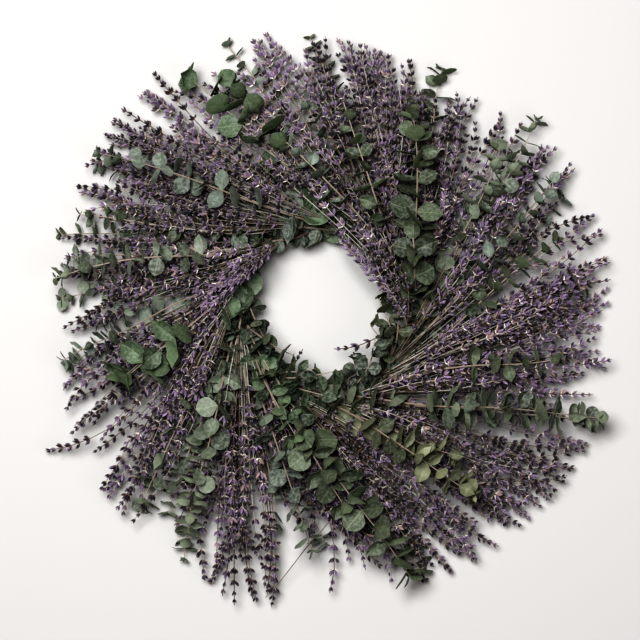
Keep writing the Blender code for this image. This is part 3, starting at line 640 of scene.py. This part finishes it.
EUCALYPTUS = (
    Spray("eucalyptus_01", 0, -5, 85, ((262, -5), (220, 6)), 40, 14, 1.0, "deep"),
    Spray("eucalyptus_02", 1, 30, 111, ((249, 0), (190, 7)), 40, 12, 0.9, "deep"),
    Spray("eucalyptus_03", 2, 35, 126, ((285, 0), (200, -5)), 38, 12, 0.9, "blue"),
    Spray("eucalyptus_04", 3, 62, 138, ((238, 1), (200, -6)), 62, 26, 1.15, "bright"),
    Spray("eucalyptus_05", 4, 88, 164, ((241, 0), (190, 7)), 40, 14, 1.0, "blue"),
    Spray("eucalyptus_06", 5, 100, 179, ((257, 2), (200, -5)), 38, 12, 0.9, "deep"),
    Spray("eucalyptus_07", 6, 112, 190, ((245, 7), (225, -2)), 40, 16, 0.9, "grey"),
    Spray("eucalyptus_08", 7, 132, 209, ((235, 0), (190, -6)), 38, 12, 0.95, "blue"),
    Spray("eucalyptus_09", 7, 132, 220, ((150, 6), (135, 0)), 76, 54, 1.1, "bright"),
    Spray("eucalyptus_10", 8, 160, 245, ((251, 1), (205, 7)), 40, 12, 1.0, "grey"),
    Spray("eucalyptus_11", 9, 170, 256, ((270, 3), (231, -5)), 38, 12, 1.0, "grey"),
    Spray("eucalyptus_12", 10, 198, 287, ((223, 3), (190, -6)), 44, 18, 1.0, "blue"),
    Spray("eucalyptus_13", 10, 205, 300, ((110, 0), (90, 9)), 60, 46, 0.75, "bright"),
    Spray("eucalyptus_14", 11, 222, 306, ((260, 3), (214, -5)), 42, 14, 1.0, "deep"),
    Spray("eucalyptus_15", 13, 250, 332, ((202, 0), (170, 6)), 66, 44, 0.95, "pale"),
    Spray("eucalyptus_16", 13, 265, 353, ((289, 0), (225, 5)), 70, 30, 0.95, "grey"),
    Spray("eucalyptus_17", 15, 305, 20, ((231, 0), (180, 6)), 38, 14, 1.0, "deep"),
    Spray("eucalyptus_18", 16, 318, 46, ((247, 0), (200, 5)), 40, 14, 0.95, "blue"),
    Spray("eucalyptus_19", 17, 335, 58, ((272, 0), (225, 6)), 64, 24, 1.0, "grey"),
)
COLLAR = (
    Spray("collar_01", 0, 2, 106, ((92, 0),), 46, 36, 0.85, "grey"),
    Spray("collar_02", 2, 42, 146, ((90, 0),), 46, 36, 0.9, "bright"),
    Spray("collar_03", 4, 82, 184, ((88, 0),), 46, 36, 0.85, "grey"),
    Spray("collar_04", 5, 108, 210, ((86, 0),), 46, 36, 0.8, "blue"),
    Spray("collar_05", 8, 158, 262, ((90, 0),), 46, 36, 0.85, "grey"),
    Spray("collar_06", 9, 182, 286, ((90, 0),), 46, 36, 0.9, "deep"),
    Spray("collar_07", 11, 220, 322, ((90, 0),), 46, 36, 0.85, "bright"),
    Spray("collar_08", 14, 282, 26, ((92, 0),), 46, 36, 0.9, "grey"),
    Spray("collar_09", 16, 318, 62, ((92, 0),), 46, 36, 0.85, "pale"),
)
everything = LAVENDER + EUCALYPTUS + COLLAR
print("bunches:", len(LAVENDER), "sprays:", len(EUCALYPTUS), "collar sprigs:", len(COLLAR))

# %% [markdown]
# A stem leaves its tie along the ring, arches over its neighbours and comes down toward
# the rim. In plan that is a cubic curve, and in height a simple arch.

# %% Stem lines
LEAVE_SHARE = 0.28
ARRIVE_SHARE = 0.36
SWAY = 1.6 * MM
SWAY_WAVES = (1.5, 3.5)
LENGTH_STEPS = 20
LOOK_AHEAD = 0.01
chance = random.Random(11)


def direction(degrees):
    """Unit vector in the plan, at an angle from +X."""
    return Vector((math.cos(math.radians(degrees)), math.sin(math.radians(degrees)), 0))


def tie_point(bunch):
    """Where a bunch is bound: side by side with its mates, the outward heading outside."""
    mates = [other for other in everything if other.station == bunch.station]
    mates.sort(key=lambda other: (other.heading - other.station * STATION_STEP) % 360)
    out = RING_RADIUS + (1 - mates.index(bunch)) * SLOT_PITCH
    return ring_middle + direction(bunch.station * STATION_STEP) * out + UP * TIE_HEIGHT


class StemLine:
    """The line of one stem from its tie to its tip."""

    def __init__(self, tie, leave, tip, arrive, crown):
        span = (tip - tie).length
        self.tie = tie
        self.leaving = tie + leave * span * LEAVE_SHARE
        self.arriving = tip - arrive * span * ARRIVE_SHARE
        self.tip = tip
        self.crown = crown
        self.sway = Vector([chance.gauss(0, SWAY) for _ in range(3)])
        self.waves = chance.uniform(*SWAY_WAVES) * math.pi
        marks = [self.at(k / LENGTH_STEPS) for k in range(LENGTH_STEPS + 1)]
        self.length = sum((b - a).length for a, b in zip(marks, marks[1:]))

    def at(self, share):
        """The point at a share of the line, 0 at the tie and 1 at the tip."""
        rest = 1 - share
        point = rest**3 * self.tie + 3 * rest * rest * share * self.leaving
        point += 3 * rest * share * share * self.arriving + share**3 * self.tip
        point.z = rest * rest * self.tie.z + 2 * rest * share * self.crown + share * share * self.tip.z
        return point + self.sway * math.sin(share * self.waves) * math.sin(share * math.pi)

    def along(self, share):
        """The direction in which the line runs there."""
        before = self.at(max(share - LOOK_AHEAD, 0))
        return (self.at(min(share + LOOK_AHEAD, 1)) - before).normalized()

    def frame(self, share):
        """Directions to the right, up and ahead at a place on the stem."""
        ahead = self.along(share)
        right = ahead.cross(UP).normalized()
        return right, right.cross(ahead).normalized(), ahead


# %% [markdown]
# The wreath's outline isn't a circle. Two tables hold how far in and how far out the
# foliage reaches, in millimetres from the ring's middle, at every 15 degrees from +X.
# They were measured in the photo by a program, from where its dark parts end, and some
# values were then changed. The tips of leaves keep out of the hole, and stems end
# within the rim, apart from a few stray stalks.

# %% Outline
EDGE_STEP = 15
HOLE_EDGE = (
    *(49, 49, 57, 62, 57, 57, 62, 63, 67, 71, 63, 70),
    *(54, 55, 63, 47, 51, 52, 60, 65, 47, 59, 72, 50),
)
RIM_EDGE = (
    *(288, 291, 290, 285, 272, 267, 277, 290, 283, 290, 281, 277),
    *(264, 274, 288, 290, 287, 313, 283, 291, 295, 295, 300, 294),
)


def edge_radius(place, edge):
    """How far from the ring's middle an edge lies in the direction of a place."""
    away = place - ring_middle
    steps = math.degrees(math.atan2(away.y, away.x)) / EDGE_STEP % len(edge)
    return float(np.interp(steps, range(len(edge) + 1), edge + edge[:1])) * MM


def within_rim(tip):
    """The tip itself, or where it is drawn in to stay on the rim."""
    away = (tip - ring_middle).to_2d().length
    return ring_middle + (tip - ring_middle) * min(1, edge_radius(tip, RIM_EDGE) / away)


# %% [markdown]
# All copies of a bunch are gathered and become one mesh. The arrays of each model are
# repeated, moved and written in one go, which is much faster than adding objects one by
# one. Each copy keeps its own points, so nothing is an instance.

# %% Gathering copies
FLOOR_GAP = 0.5 * MM
FLOOR_PRESS = 4 * MM
SHARP_ANGLE = math.radians(50)


class Gathering:
    """Copies of small models that will be one piece."""

    def __init__(self, name, finishes):
        self.name = name
        self.finishes = finishes
        self.parts = []

    def add(self, model, points, tone, slot):
        """One copy with its points in place; slot is added to the model's own."""
        tones = np.clip(model.tone + tone, 0, 1)
        self.parts.append((points, model, tones, slot))

    def place(self, model, right, front, up, foot, size, tone, slot=0):
        """A copy whose X, Y and Z point along three directions."""
        turn = np.array([right, front, up])
        self.add(model, model.points @ (turn * size) + np.array(foot), tone, slot)

    def bend(self, model, line_points, radii, tone, slot=0):
        """A stick whose rings lie on the points of a line, each with its radius."""
        rows = np.rint(model.points[:, 2] * (len(line_points) - 1)).astype(int)
        line = np.array([tuple(point) for point in line_points])
        ahead = np.gradient(line, axis=0)
        ahead /= np.linalg.norm(ahead, axis=1)[:, None]
        right = np.cross(ahead, np.array(UP))
        right /= np.linalg.norm(right, axis=1)[:, None]
        over = np.cross(right, ahead)
        wide = np.array(radii)[rows][:, None]
        points = line[rows] + wide * model.points[:, :1] * right[rows]
        points = points + wide * model.points[:, 1:2] * over[rows]
        self.add(model, points, tone, slot)

    def finish(self):
        """Write all copies into one mesh, on an object at the origin."""
        placed, models, tones, added = zip(*self.parts)
        counts = np.cumsum([0] + [len(points) for points in placed])
        points = np.concatenate(placed)
        # What comes close to the floor, or would go under it, is pressed flat above it.
        low = points[:, 2] < FLOOR_PRESS
        give = FLOOR_PRESS - FLOOR_GAP
        points[low, 2] = FLOOR_GAP + give * np.exp((points[low, 2] - FLOOR_PRESS) / give)
        corners = np.concatenate([model.corners + first for model, first in zip(models, counts)])
        sizes = np.concatenate([model.sizes for model in models])
        slots = np.concatenate([model.slots + slot for model, slot in zip(models, added)])
        flat = np.concatenate([model.flat for model in models])
        mesh = bpy.data.meshes.new(self.name)
        mesh.vertices.add(len(points))
        mesh.vertices.foreach_set("co", points.astype(np.float32).ravel())
        mesh.loops.add(len(corners))
        mesh.loops.foreach_set("vertex_index", corners)
        mesh.polygons.add(len(sizes))
        mesh.polygons.foreach_set("loop_start", np.concatenate([[0], np.cumsum(sizes)[:-1]]))
        mesh.polygons.foreach_set("material_index", slots)
        flat_map = mesh.uv_layers.new(name="UVMap")
        flat_map.uv.foreach_set("vector", flat.astype(np.float32).ravel())
        for finish in self.finishes:
            mesh.materials.append(finish)
        mesh.update(calc_edges=True)
        mesh.shade_smooth()
        mesh.set_sharp_from_angle(angle=SHARP_ANGLE)
        piece = bpy.data.objects.new(self.name, mesh)
        write_value(piece, "along", np.concatenate([model.along for model in models]))
        write_value(piece, "tone", np.concatenate(tones))
        bpy.context.scene.collection.objects.link(piece)
        return piece


def triangles_in(pieces):
    """How many triangles some pieces have in all."""
    return sum(len(piece.data.loops) - 2 * len(piece.data.polygons) for piece in pieces)


# %% [markdown]
# ### Lavender
# A bunch is a sheaf of stalks of unequal length. Each carries its flowers on the outer
# part: whorls close together at the tip and further apart below. The stalks fan out
# evenly, so their places in the fan come from the golden ratio, which never lines up,
# with a little chance added. Their cut ends stick out a bit behind the tie. Each bunch
# of the photo has its own character, and a few stalks have slipped out of theirs.

# %% Spikes
Sheaf = namedtuple("Sheaf", "stalks spread turn crowding age")
SHEAVES = {
    # number of stalks, fan against the plan, turn of the bunch in degrees, whether most
    # stalks are long (above 1) or short (below 1), and how pale its buds have gone
    "lavender_01": Sheaf(28, 0.55, -1, 1.1, 0.4),
    "lavender_02": Sheaf(44, 1.2, 0, 1.7, 0.5),
    "lavender_03": Sheaf(44, 1.3, 1, 1.8, 0.52),
    "lavender_04": Sheaf(38, 1.2, 0, 1.2, 0.45),
    "lavender_05": Sheaf(36, 0.85, -3, 0.9, 0.42),
    "lavender_06": Sheaf(38, 1.2, 0, 1.0, 0.45),
    "lavender_07": Sheaf(26, 1.0, 0, 1.0, 0.5),
    "lavender_08": Sheaf(36, 0.95, -1, 0.85, 0.45),
    "lavender_09": Sheaf(40, 0.9, -2, 0.75, 0.42),
    "lavender_10": Sheaf(44, 0.9, -1, 0.85, 0.38),
    "lavender_11": Sheaf(36, 1.15, 8, 0.9, 0.42),
    "lavender_12": Sheaf(48, 1.3, 3, 1.4, 0.4),
    "lavender_13": Sheaf(50, 1.5, -2, 1.5, 0.42),
    "lavender_14": Sheaf(48, 1.2, 1, 1.5, 0.52),
    "lavender_15": Sheaf(40, 0.95, -6, 1.0, 0.58),
    "lavender_16": Sheaf(32, 0.95, 1, 1.0, 0.5),
    "lavender_17": Sheaf(46, 1.2, 5, 1.4, 0.46),
}
STRAY_CROWN = 66 * MM
STRAY_AGE = 0.3
STRAYS = (
    # bunch, start from the ring's middle in mm or None for the tie, end in mm, angle of
    # arrival, whorls
    ("lavender_08", None, (-282, -141, 8), 185, 6),
    ("lavender_04", None, (-173, 241, 12), 129, 7),
    ("lavender_08", None, (-242, -111, 44), 232, 0),
    ("lavender_11", (-2, -218, 30), (-60, -289, 12), 231, 0),
    ("lavender_01", None, (-58, 150, 46), 130, 6),
    ("lavender_01", None, (-36, 146, 50), 124, 6),
    ("lavender_01", None, (-16, 128, 54), 122, 6),
    ("lavender_01", None, (-2, 150, 48), 116, 6),
    ("lavender_16", (88, -12, 44), (9, -38, 22), 182, 4),
    ("lavender_11", (-36, -60, 40), (-22, -38, 36), 62, 2),
)
# Steps that spread numbers evenly: the golden ratio's for the fan, its square for the
# level and the plastic ratio's for the lengths.
GOLDEN = 0.618034
PLASTIC = 0.7548777
LEVEL_START = 0.37
LEVEL_BY_SHORTNESS = 0.6
LENGTH_LOSS = 0.55
# How the stalks of a bunch spread about its planned tips, arch and headings, in mm and
# degrees. Level runs from 0 for its lowest stalk to 1 for its highest.
TURN_SPREAD = 4.2
TIP_LOWEST = 7
TIP_DROP = 14
TIP_RANGE = 28
TIP_CHANCE = 4
ARCH_DROP = 36
ARCH_RANGE = 54
ARCH_SLOPE = 10
LEAVE_TURN = 0.8
ARRIVE_TURN = 1.2
ARRIVE_CHANCE = (1, 15)
TIE_DEPTH = 4 * MM
TIE_WIDTH = 1.8 * MM
STALK_RADII = (0.55 * MM, 0.38 * MM)
CUT_END = 13 * MM
# The gaps in mm and the sizes of the whorls of a stalk, from its tip down.
HEAD_GAPS = (3, 6.5, 9, 10.5, 11.5, 12.5, 14, 16)
HEAD_SIZES = (0.8, 0.95, 1.05, 1.1, 1.1, 1.05, 1, 0.95)
TIP_WHORLS = 2
FULL_WHORLS_TO = 6
BARE_SHARE = 0.25
CUT_CHANCE = (0.7, 1.3)
CUT_FALL = 3 * MM
VIGOUR = (0.8, 1.2)
WHORL_CHANCE = (0.85, 1.12)
WHORL_FOOT = 3 * MM
STALK_TONE_SPREAD = 0.19
WHORL_TONE_SPREAD = 0.08
whorl_places = []
chance = random.Random(17)


def stalk_line(bunch, sheaf, tie, forward, number):
    """The line of one lavender stalk in its bunch."""
    share = (number * GOLDEN) % 1 * 2 - 1
    shortness = ((number * PLASTIC) % 1) ** sheaf.crowding
    level = (number * GOLDEN * GOLDEN + LEVEL_START) % 1
    level = LEVEL_BY_SHORTNESS * shortness + (1 - LEVEL_BY_SHORTNESS) * level
    reach = bunch.reach * MM * (1 - LENGTH_LOSS * shortness)
    turn = bunch.fan * sheaf.spread * share + sheaf.turn + chance.gauss(0, TURN_SPREAD)
    ahead = direction(bunch.heading + turn)
    tip = within_rim(ring_middle + direction(bunch.start) * RING_RADIUS + ahead * reach)
    height = bunch.tip - TIP_DROP + TIP_RANGE * level + chance.uniform(-TIP_CHANCE, TIP_CHANCE)
    tip.z = max(TIP_LOWEST, height) * MM
    arch = bunch.crown - ARCH_DROP + ARCH_RANGE * level + ARCH_SLOPE * share
    outward = forward.cross(UP)
    leave = (forward - outward * math.radians(bunch.fan * share * LEAVE_TURN)).normalized()
    arrive = direction(bunch.heading + turn * ARRIVE_TURN + chance.gauss(*ARRIVE_CHANCE))
    foot = tie + UP * (level - 0.5) * TIE_DEPTH + outward * share * TIE_WIDTH
    return StemLine(foot, leave, tip, arrive, arch * MM)


def add_spike(gathering, line, forward, age, whorl_count=len(HEAD_GAPS)):
    """One stalk with its cut end and its whorls."""
    cut = line.tie - forward * CUT_END * chance.uniform(*CUT_CHANCE)
    cut -= UP * chance.uniform(0, 1) * CUT_FALL
    points = [cut] + [line.at(k / (STALK_SEGMENTS - 1)) for k in range(STALK_SEGMENTS)]
    radii = np.linspace(*STALK_RADII, len(points))
    gathering.bend(sticks["stalk"], points, radii, chance.random(), 0)
    from_tip = 0.0
    vigour = chance.uniform(*VIGOUR)
    age = chance.gauss(age, STALK_TONE_SPREAD)
    for number, gap in enumerate(HEAD_GAPS[:whorl_count]):
        from_tip += gap * MM * vigour
        share = 1 - from_tip / line.length
        if share < BARE_SHARE:
            break
        right, over, ahead = line.frame(share)
        spin = Matrix.Rotation(chance.uniform(0, math.tau), 3, ahead)
        kind = "tip" if number < TIP_WHORLS else "full" if number < FULL_WHORLS_TO else "loose"
        size = HEAD_SIZES[number] * chance.uniform(*WHORL_CHANCE)
        foot = line.at(share) - ahead * WHORL_FOOT
        tone = chance.gauss(age, WHORL_TONE_SPREAD)
        whorl = chance.choice(whorls[kind])
        gathering.place(whorl, spin @ right, spin @ over, ahead, foot, size, tone, 1)
        whorl_places.append(line.at(share))


def add_stray(gathering, start, end, angle, whorl_count, tie, forward):
    """A stalk that has slipped out of its bunch, bare or with a few whorls."""
    foot = ring_middle + Vector(start) * MM if start else tie
    tip = ring_middle + Vector(end) * MM
    leave = (tip - foot).normalized() if start else forward
    crown = (foot.z + tip.z) / 2 if start else STRAY_CROWN
    line = StemLine(foot, leave, tip, direction(angle), crown)
    add_spike(gathering, line, leave, STRAY_AGE, whorl_count)


def tie_bunch(bunch):
    """A lavender bunch as one piece."""
    gathering = Gathering(bunch.name + "_dressed", (straw, calyx, bract))
    tie = tie_point(bunch)
    forward = direction(bunch.station * STATION_STEP + 90)
    sheaf = SHEAVES[bunch.name]
    for number in range(sheaf.stalks):
        line = stalk_line(bunch, sheaf, tie, forward, number)
        add_spike(gathering, line, forward, sheaf.age)
    for owner, start, end, angle, whorl_count in STRAYS:
        if owner == bunch.name:
            add_stray(gathering, start, end, angle, whorl_count, tie, forward)
    piece = gathering.finish()
    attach(piece, "root")
    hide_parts(bunch.name)
    return piece


bunches = [tie_bunch(bunch) for bunch in LAVENDER]
print("lavender triangles:", triangles_in(bunches))

# %% [markdown]
# ### Eucalyptus
# Leaves grow in pairs, each pair turned a quarter round the stem from the last, and
# they get smaller and closer toward the tip. On a spray that lies down, the flat pairs
# spread left and right, and of a crossed pair one leaf stands up and one leans aside.
# Each spray of the photo has its own habit: large or small leaves, leaves lighter or
# darker by painted light and shade, pairs close together or far apart. Most get more
# stems here than the plan holds. A leaf with no room, among the lavender whorls or at
# the hole's edge, is tried up to eight times and then left out.

# %% Sprigs
TWIG_RADII = (1.2 * MM, 0.45 * MM)
PAIR_GAP = 16 * MM
FIRST_PAIR = {"eucalyptus": 22 * MM, "collar": 9 * MM}
STEM_RISE = 10
TWIG_TIP_LOWEST = 6
TWIG_TIP_CHANCE = (-3, 5)
TWIG_TURN_CHANCE = 2
TWIG_ARCH_CHANCE = 4
TWIG_ARRIVE_TURN = 0.3
TWIG_ARRIVE_CHANCE = (-6, 10)
TWIG_CUT_CHANCE = (0.7, 1.2)
FIRST_PAIR_CHANCE = (0.8, 1.2)
PAIR_TURN = (-12, 22)
CROSSED_LEAN = 55
TAPER_CURVE = 1.6
# How a leaf looks for room and how it lies. Flatness is 0 for a face that looks along
# the stem and 1 for one that looks up; its two values are for the foot and the tip.
WHORL_HALF = 3 * MM
LEAF_ATTEMPTS = 8
LEAF_SWING = 0.12
LEAF_STALK = 0.6 * MM
LEAF_LEAN = (-5, 30)
FLAT_LEAN = 50
FACE_CHANCE = (0.22, 0.22, 0.1)
FLATNESS = (0.62, 0.08)
FLATNESS_LEAST = 0.1
FLATNESS_SPREAD = 0.3
LEAF_KINDS = ("round", "round", "cupped", "folded", "flat")
LEAF_CHANCE = (0.88, 1.12)
# Painted light: how much lighter a leaf is drawn toward the tip of its stem.
TIP_LIT_SHARE = 0.3
TIP_LEAVES = 3
TIP_LEAF_SIZE = (0.5, 0.8)
TIP_LEAF_TURN = 2.1
TIP_LEAF_FLATNESS = 0.3
lost_leaves = []
lavender_tree = KDTree(len(whorl_places))
for number, place in enumerate(whorl_places):
    lavender_tree.insert(place, number)
lavender_tree.balance()
Habit = namedtuple("Habit", "wide narrow flatness freshness gap added lower", defaults=(0,))
Added = namedtuple("Added", "share turn arch tip bare")
HABITS = {
    # size of the first and the last leaves, how much flatter they lie, their share of
    # painted light against painted shade, how far apart the pairs stand, the added stems,
    # and how much lower the spray lies than planned in mm; an added stem has a share of
    # the reach, a turn anticlockwise in degrees, its arch, the height of its tip and its
    # bare foot in mm
    "eucalyptus_01": Habit(
        1.45, 0.75, 0.25, 0.85, 0.8, (Added(0.78, 5, 79, 41, 6), Added(0.42, 5, 86, 44, 6))
    ),
    "eucalyptus_02": Habit(1.2, 0.5, 0.1, 0.9, 1.15, (Added(0.7, -1, 90, 40, 50),)),
    "eucalyptus_03": Habit(1.1, 0.5, 0, 0.9, 1.3, (Added(0.62, 8, 92, 36, 90),)),
    "eucalyptus_04": Habit(1.4, 0.9, 0.15, 1.0, 1.2, ()),
    "eucalyptus_05": Habit(1.25, 0.5, 0.1, 0.9, 1.15, (Added(1.0, 0, 90, 36, 50),)),
    "eucalyptus_06": Habit(1.0, 0.6, 0, 0.9, 1.4, (Added(0.9, -2, 50, 16, 60),)),
    "eucalyptus_07": Habit(1.1, 0.6, 0.1, 1.0, 1.0, (Added(1.0, 0, 90, 30, 30),)),
    "eucalyptus_08": Habit(1.15, 0.5, 0.1, 1.2, 1.1, (Added(1.0, -1, 66, 24, 140),)),
    "eucalyptus_09": Habit(1.15, 1.3, 0.3, 1.3, 0.95, (Added(1.25, 2, 78, 46, 70),), 8),
    "eucalyptus_10": Habit(1.0, 0.8, 0.1, 0.9, 1.9, (Added(0.95, 1, 66, 24, 130),)),
    "eucalyptus_11": Habit(1.15, 0.6, 0.1, 1.0, 0.9, (Added(0.92, 0, 92, 30, 40),)),
    "eucalyptus_12": Habit(1.05, 0.7, 0, 0.9, 1.35, (Added(1.0, 1, 84, 30, 100),)),
    "eucalyptus_13": Habit(
        1.1, 0.9, 0.1, 1.0, 1.15, (Added(1.0, 0, 88, 60, 10), Added(0.9, -8, 78, 54, 10))
    ),
    "eucalyptus_14": Habit(
        1.3, 0.95, 0.25, 1.0, 1.15, (Added(0.98, -1, 92, 30, 70), Added(0.66, -6, 84, 40, 60))
    ),
    "eucalyptus_15": Habit(1.15, 0.7, 0, 0.85, 1.0, (Added(1.0, -2, 92, 48, 20),)),
    "eucalyptus_16": Habit(1.3, 0.75, 0, 1.0, 1.1, (Added(0.97, 1, 94, 32, 120),)),
    "eucalyptus_17": Habit(
        1.1, 0.6, 0, 1.0, 1.25, (Added(0.8, -13, 76, 28, 110), Added(1.0, 17, 60, 26, 95))
    ),
    "eucalyptus_18": Habit(1.1, 0.6, 0.1, 1.0, 1.1, (Added(1.0, 2, 66, 26, 150),)),
    "eucalyptus_19": Habit(1.1, 0.6, 0, 1.2, 1.0, (Added(0.82, 3, 50, 20, 110),)),
    # The collar sprigs by the hole's edge get a small share of light, so their leaves are dark, partly by
    # their own colour and partly by painted shade.
    "collar_01": Habit(1.1, 0.7, 0.1, 0.4, 1.1, ()),
    "collar_02": Habit(0.8, 0.6, 0, 0.4, 1.3, ()),
    "collar_03": Habit(0.8, 0.6, 0, 0.4, 1.3, ()),
    "collar_04": Habit(0.8, 0.6, 0, 0.5, 1.0, ()),
    "collar_05": Habit(0.9, 0.8, 0.1, 0.5, 1.0, (Added(0.7, 24, 46, 36, 20),)),
    "collar_06": Habit(1.0, 0.9, 0.1, 0.5, 1.0, (Added(0.9, 14, 46, 38, 12), Added(0.75, 36, 52, 42, 24))),
    "collar_07": Habit(
        1.0, 0.9, 0.1, 0.5, 1.0,
        (Added(0.9, 14, 46, 38, 12), Added(0.85, 36, 52, 42, 24), Added(0.6, 34, 46, 36, 20)),
    ),
    "collar_08": Habit(0.9, 0.7, 0, 0.2, 1.0, (Added(0.45, 50, 36, 30, 12), Added(0.7, 34, 46, 38, 20))),
    "collar_09": Habit(
        0.9, 0.8, 0, 0.2, 1.0,
        (Added(0.8, 20, 46, 38, 30), Added(0.76, 38, 52, 42, 44), Added(0.5, 50, 44, 38, 16)),
    ),
}


def twig_lines(spray, habit):
    """The lines of a spray's stems, each with the length of its bare foot."""
    tie = tie_point(spray)
    forward = direction(spray.station * STATION_STEP + 90)
    first_pair = FIRST_PAIR[spray.name.split("_")[0]]
    plan = []
    for number, (reach, turn) in enumerate(spray.reach):
        rise = STEM_RISE * (number - 1) - habit.lower
        plan.append((reach, turn, spray.crown + rise, spray.tip + rise, first_pair))
    for stem in habit.added:
        reach = spray.reach[0][0] * stem.share
        plan.append((reach, stem.turn, stem.arch, stem.tip, stem.bare * MM))
    lines = []
    for reach, turn, arch, height, bare in plan:
        angle = spray.heading + turn + chance.uniform(-TWIG_TURN_CHANCE, TWIG_TURN_CHANCE)
        start = ring_middle + direction(spray.start) * RING_RADIUS
        tip = within_rim(start + direction(angle) * reach * MM)
        tip.z = max(TWIG_TIP_LOWEST, height + chance.uniform(*TWIG_TIP_CHANCE)) * MM
        arrive = direction(angle + turn * TWIG_ARRIVE_TURN + chance.uniform(*TWIG_ARRIVE_CHANCE))
        arch += chance.uniform(-TWIG_ARCH_CHANCE, TWIG_ARCH_CHANCE)
        lines.append((StemLine(tie, forward, tip, arrive, arch * MM), bare))
    return lines


def has_no_room(foot, front, up, size):
    """Whether a lavender whorl would go through a leaf, or the leaf reach into the hole."""
    radius = LEAF_LENGTH * size / 2
    middle = foot + front * radius
    leaf_tip = middle + front * radius
    if (leaf_tip - ring_middle).to_2d().length < edge_radius(leaf_tip, HOLE_EDGE):
        return True
    for place, _, distance in lavender_tree.find_range(middle, radius + WHORL_HALF):
        height = abs((place - middle).dot(up))
        aside = math.sqrt(max(0, distance**2 - height**2))
        if height < WHORL_HALF and aside < radius + WHORL_HALF / 2:
            return True
    return False


def add_leaf(gathering, line, share, angle, size, flatness, freshness):
    """One leaf on a stem. Its face looks along the stem, or up where it has lain flat."""
    right, over, ahead = line.frame(share)
    for attempt in range(LEAF_ATTEMPTS):
        turned = angle + chance.gauss(0, LEAF_SWING * attempt)
        out = right * math.cos(turned) + over * math.sin(turned)
        flat_lean = FLAT_LEAN * flatness * abs(math.sin(turned))
        lean = math.radians(chance.uniform(*LEAF_LEAN) + flat_lean)
        front = (out * math.cos(lean) + ahead * math.sin(lean)).normalized()
        wish = UP * flatness + ahead * (1 - flatness)
        wish += Vector([chance.gauss(0, spread) for spread in FACE_CHANCE])
        up = (wish - front * wish.dot(front)).normalized()
        foot = line.at(share) + front * LEAF_STALK
        if not has_no_room(foot, front, up, size):
            kind = chance.choice(LEAF_KINDS)
            # Painted light and shade: a random tone, raised toward the stem's tip and scaled by the
            # spray's share of light, picks between the shaded and the lit leaf colour.
            tone = (chance.random() + TIP_LIT_SHARE * share) * freshness
            gathering.place(leaves[kind], front.cross(up), front, up, foot, size, tone, 1)
            return
    lost_leaves.append(foot)


def add_twig(gathering, line, forward, leaf_size, bare, habit):
    """One stem with its leaves, and a bud of small leaves at its tip."""
    cut = line.tie - forward * CUT_END * chance.uniform(*TWIG_CUT_CHANCE)
    points = [cut] + [line.at(k / (TWIG_SEGMENTS - 1)) for k in range(TWIG_SEGMENTS)]
    radii = np.linspace(*TWIG_RADII, len(points))
    gathering.bend(sticks["twig"], points, radii, chance.random(), 0)
    at = bare * chance.uniform(*FIRST_PAIR_CHANCE)
    pair = chance.randrange(2)
    while at < line.length:
        share = at / line.length
        taper = habit.wide - (habit.wide - habit.narrow) * share**TAPER_CURVE
        base = math.radians(chance.uniform(*PAIR_TURN) + (90 if pair % 2 else 0))
        for side in (0, 1):
            angle = base + math.pi * side
            if pair % 2 and side:
                angle += math.radians(chance.choice((-CROSSED_LEAN, CROSSED_LEAN)))
            size = leaf_size * taper * chance.uniform(*LEAF_CHANCE)
            flatness = FLATNESS[0] + (FLATNESS[1] - FLATNESS[0]) * share + habit.flatness
            flatness = chance.gauss(flatness, FLATNESS_SPREAD)
            flatness = min(1, max(FLATNESS_LEAST, flatness))
            add_leaf(gathering, line, share, angle, size, flatness, habit.freshness)
        pair += 1
        at += PAIR_GAP * taper * habit.gap
    for number in range(TIP_LEAVES):
        size = leaf_size * habit.narrow * chance.uniform(*TIP_LEAF_SIZE)
        angle = number * TIP_LEAF_TURN + chance.random()
        add_leaf(gathering, line, 1.0, angle, size, TIP_LEAF_FLATNESS, habit.freshness)


def tie_spray(spray):
    """A eucalyptus spray as one piece."""
    finishes = (twig, leaf_faces[spray.tint], leaf_backs[spray.tint])
    gathering = Gathering(spray.name + "_dressed", finishes)
    forward = direction(spray.station * STATION_STEP + 90)
    habit = HABITS[spray.name]
    for line, bare in twig_lines(spray, habit):
        add_twig(gathering, line, forward, spray.leaf, bare, habit)
    piece = gathering.finish()
    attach(piece, "root")
    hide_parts(spray.name)
    return piece


sprays = [tie_spray(spray) for spray in EUCALYPTUS + COLLAR]
print("leaves with no room:", len(lost_leaves))
print("leaf and twig triangles:", triangles_in(sprays))

# %% [markdown]
# ## The floor
# A plain pale sheet of card under the wreath, at the height on which the frame rests.

# %% Floor
FLOOR_SIZE = 12

start_edit()
bpy.ops.mesh.primitive_plane_add(size=FLOOR_SIZE, location=(0, 0, 0))
floor = bpy.context.active_object
floor.name = "studio_floor"
card, shader = new_finish("pale_card", 0.9)
shader.inputs["Base Color"].default_value = linear("#bdbcbb")
floor.data.materials.append(card)
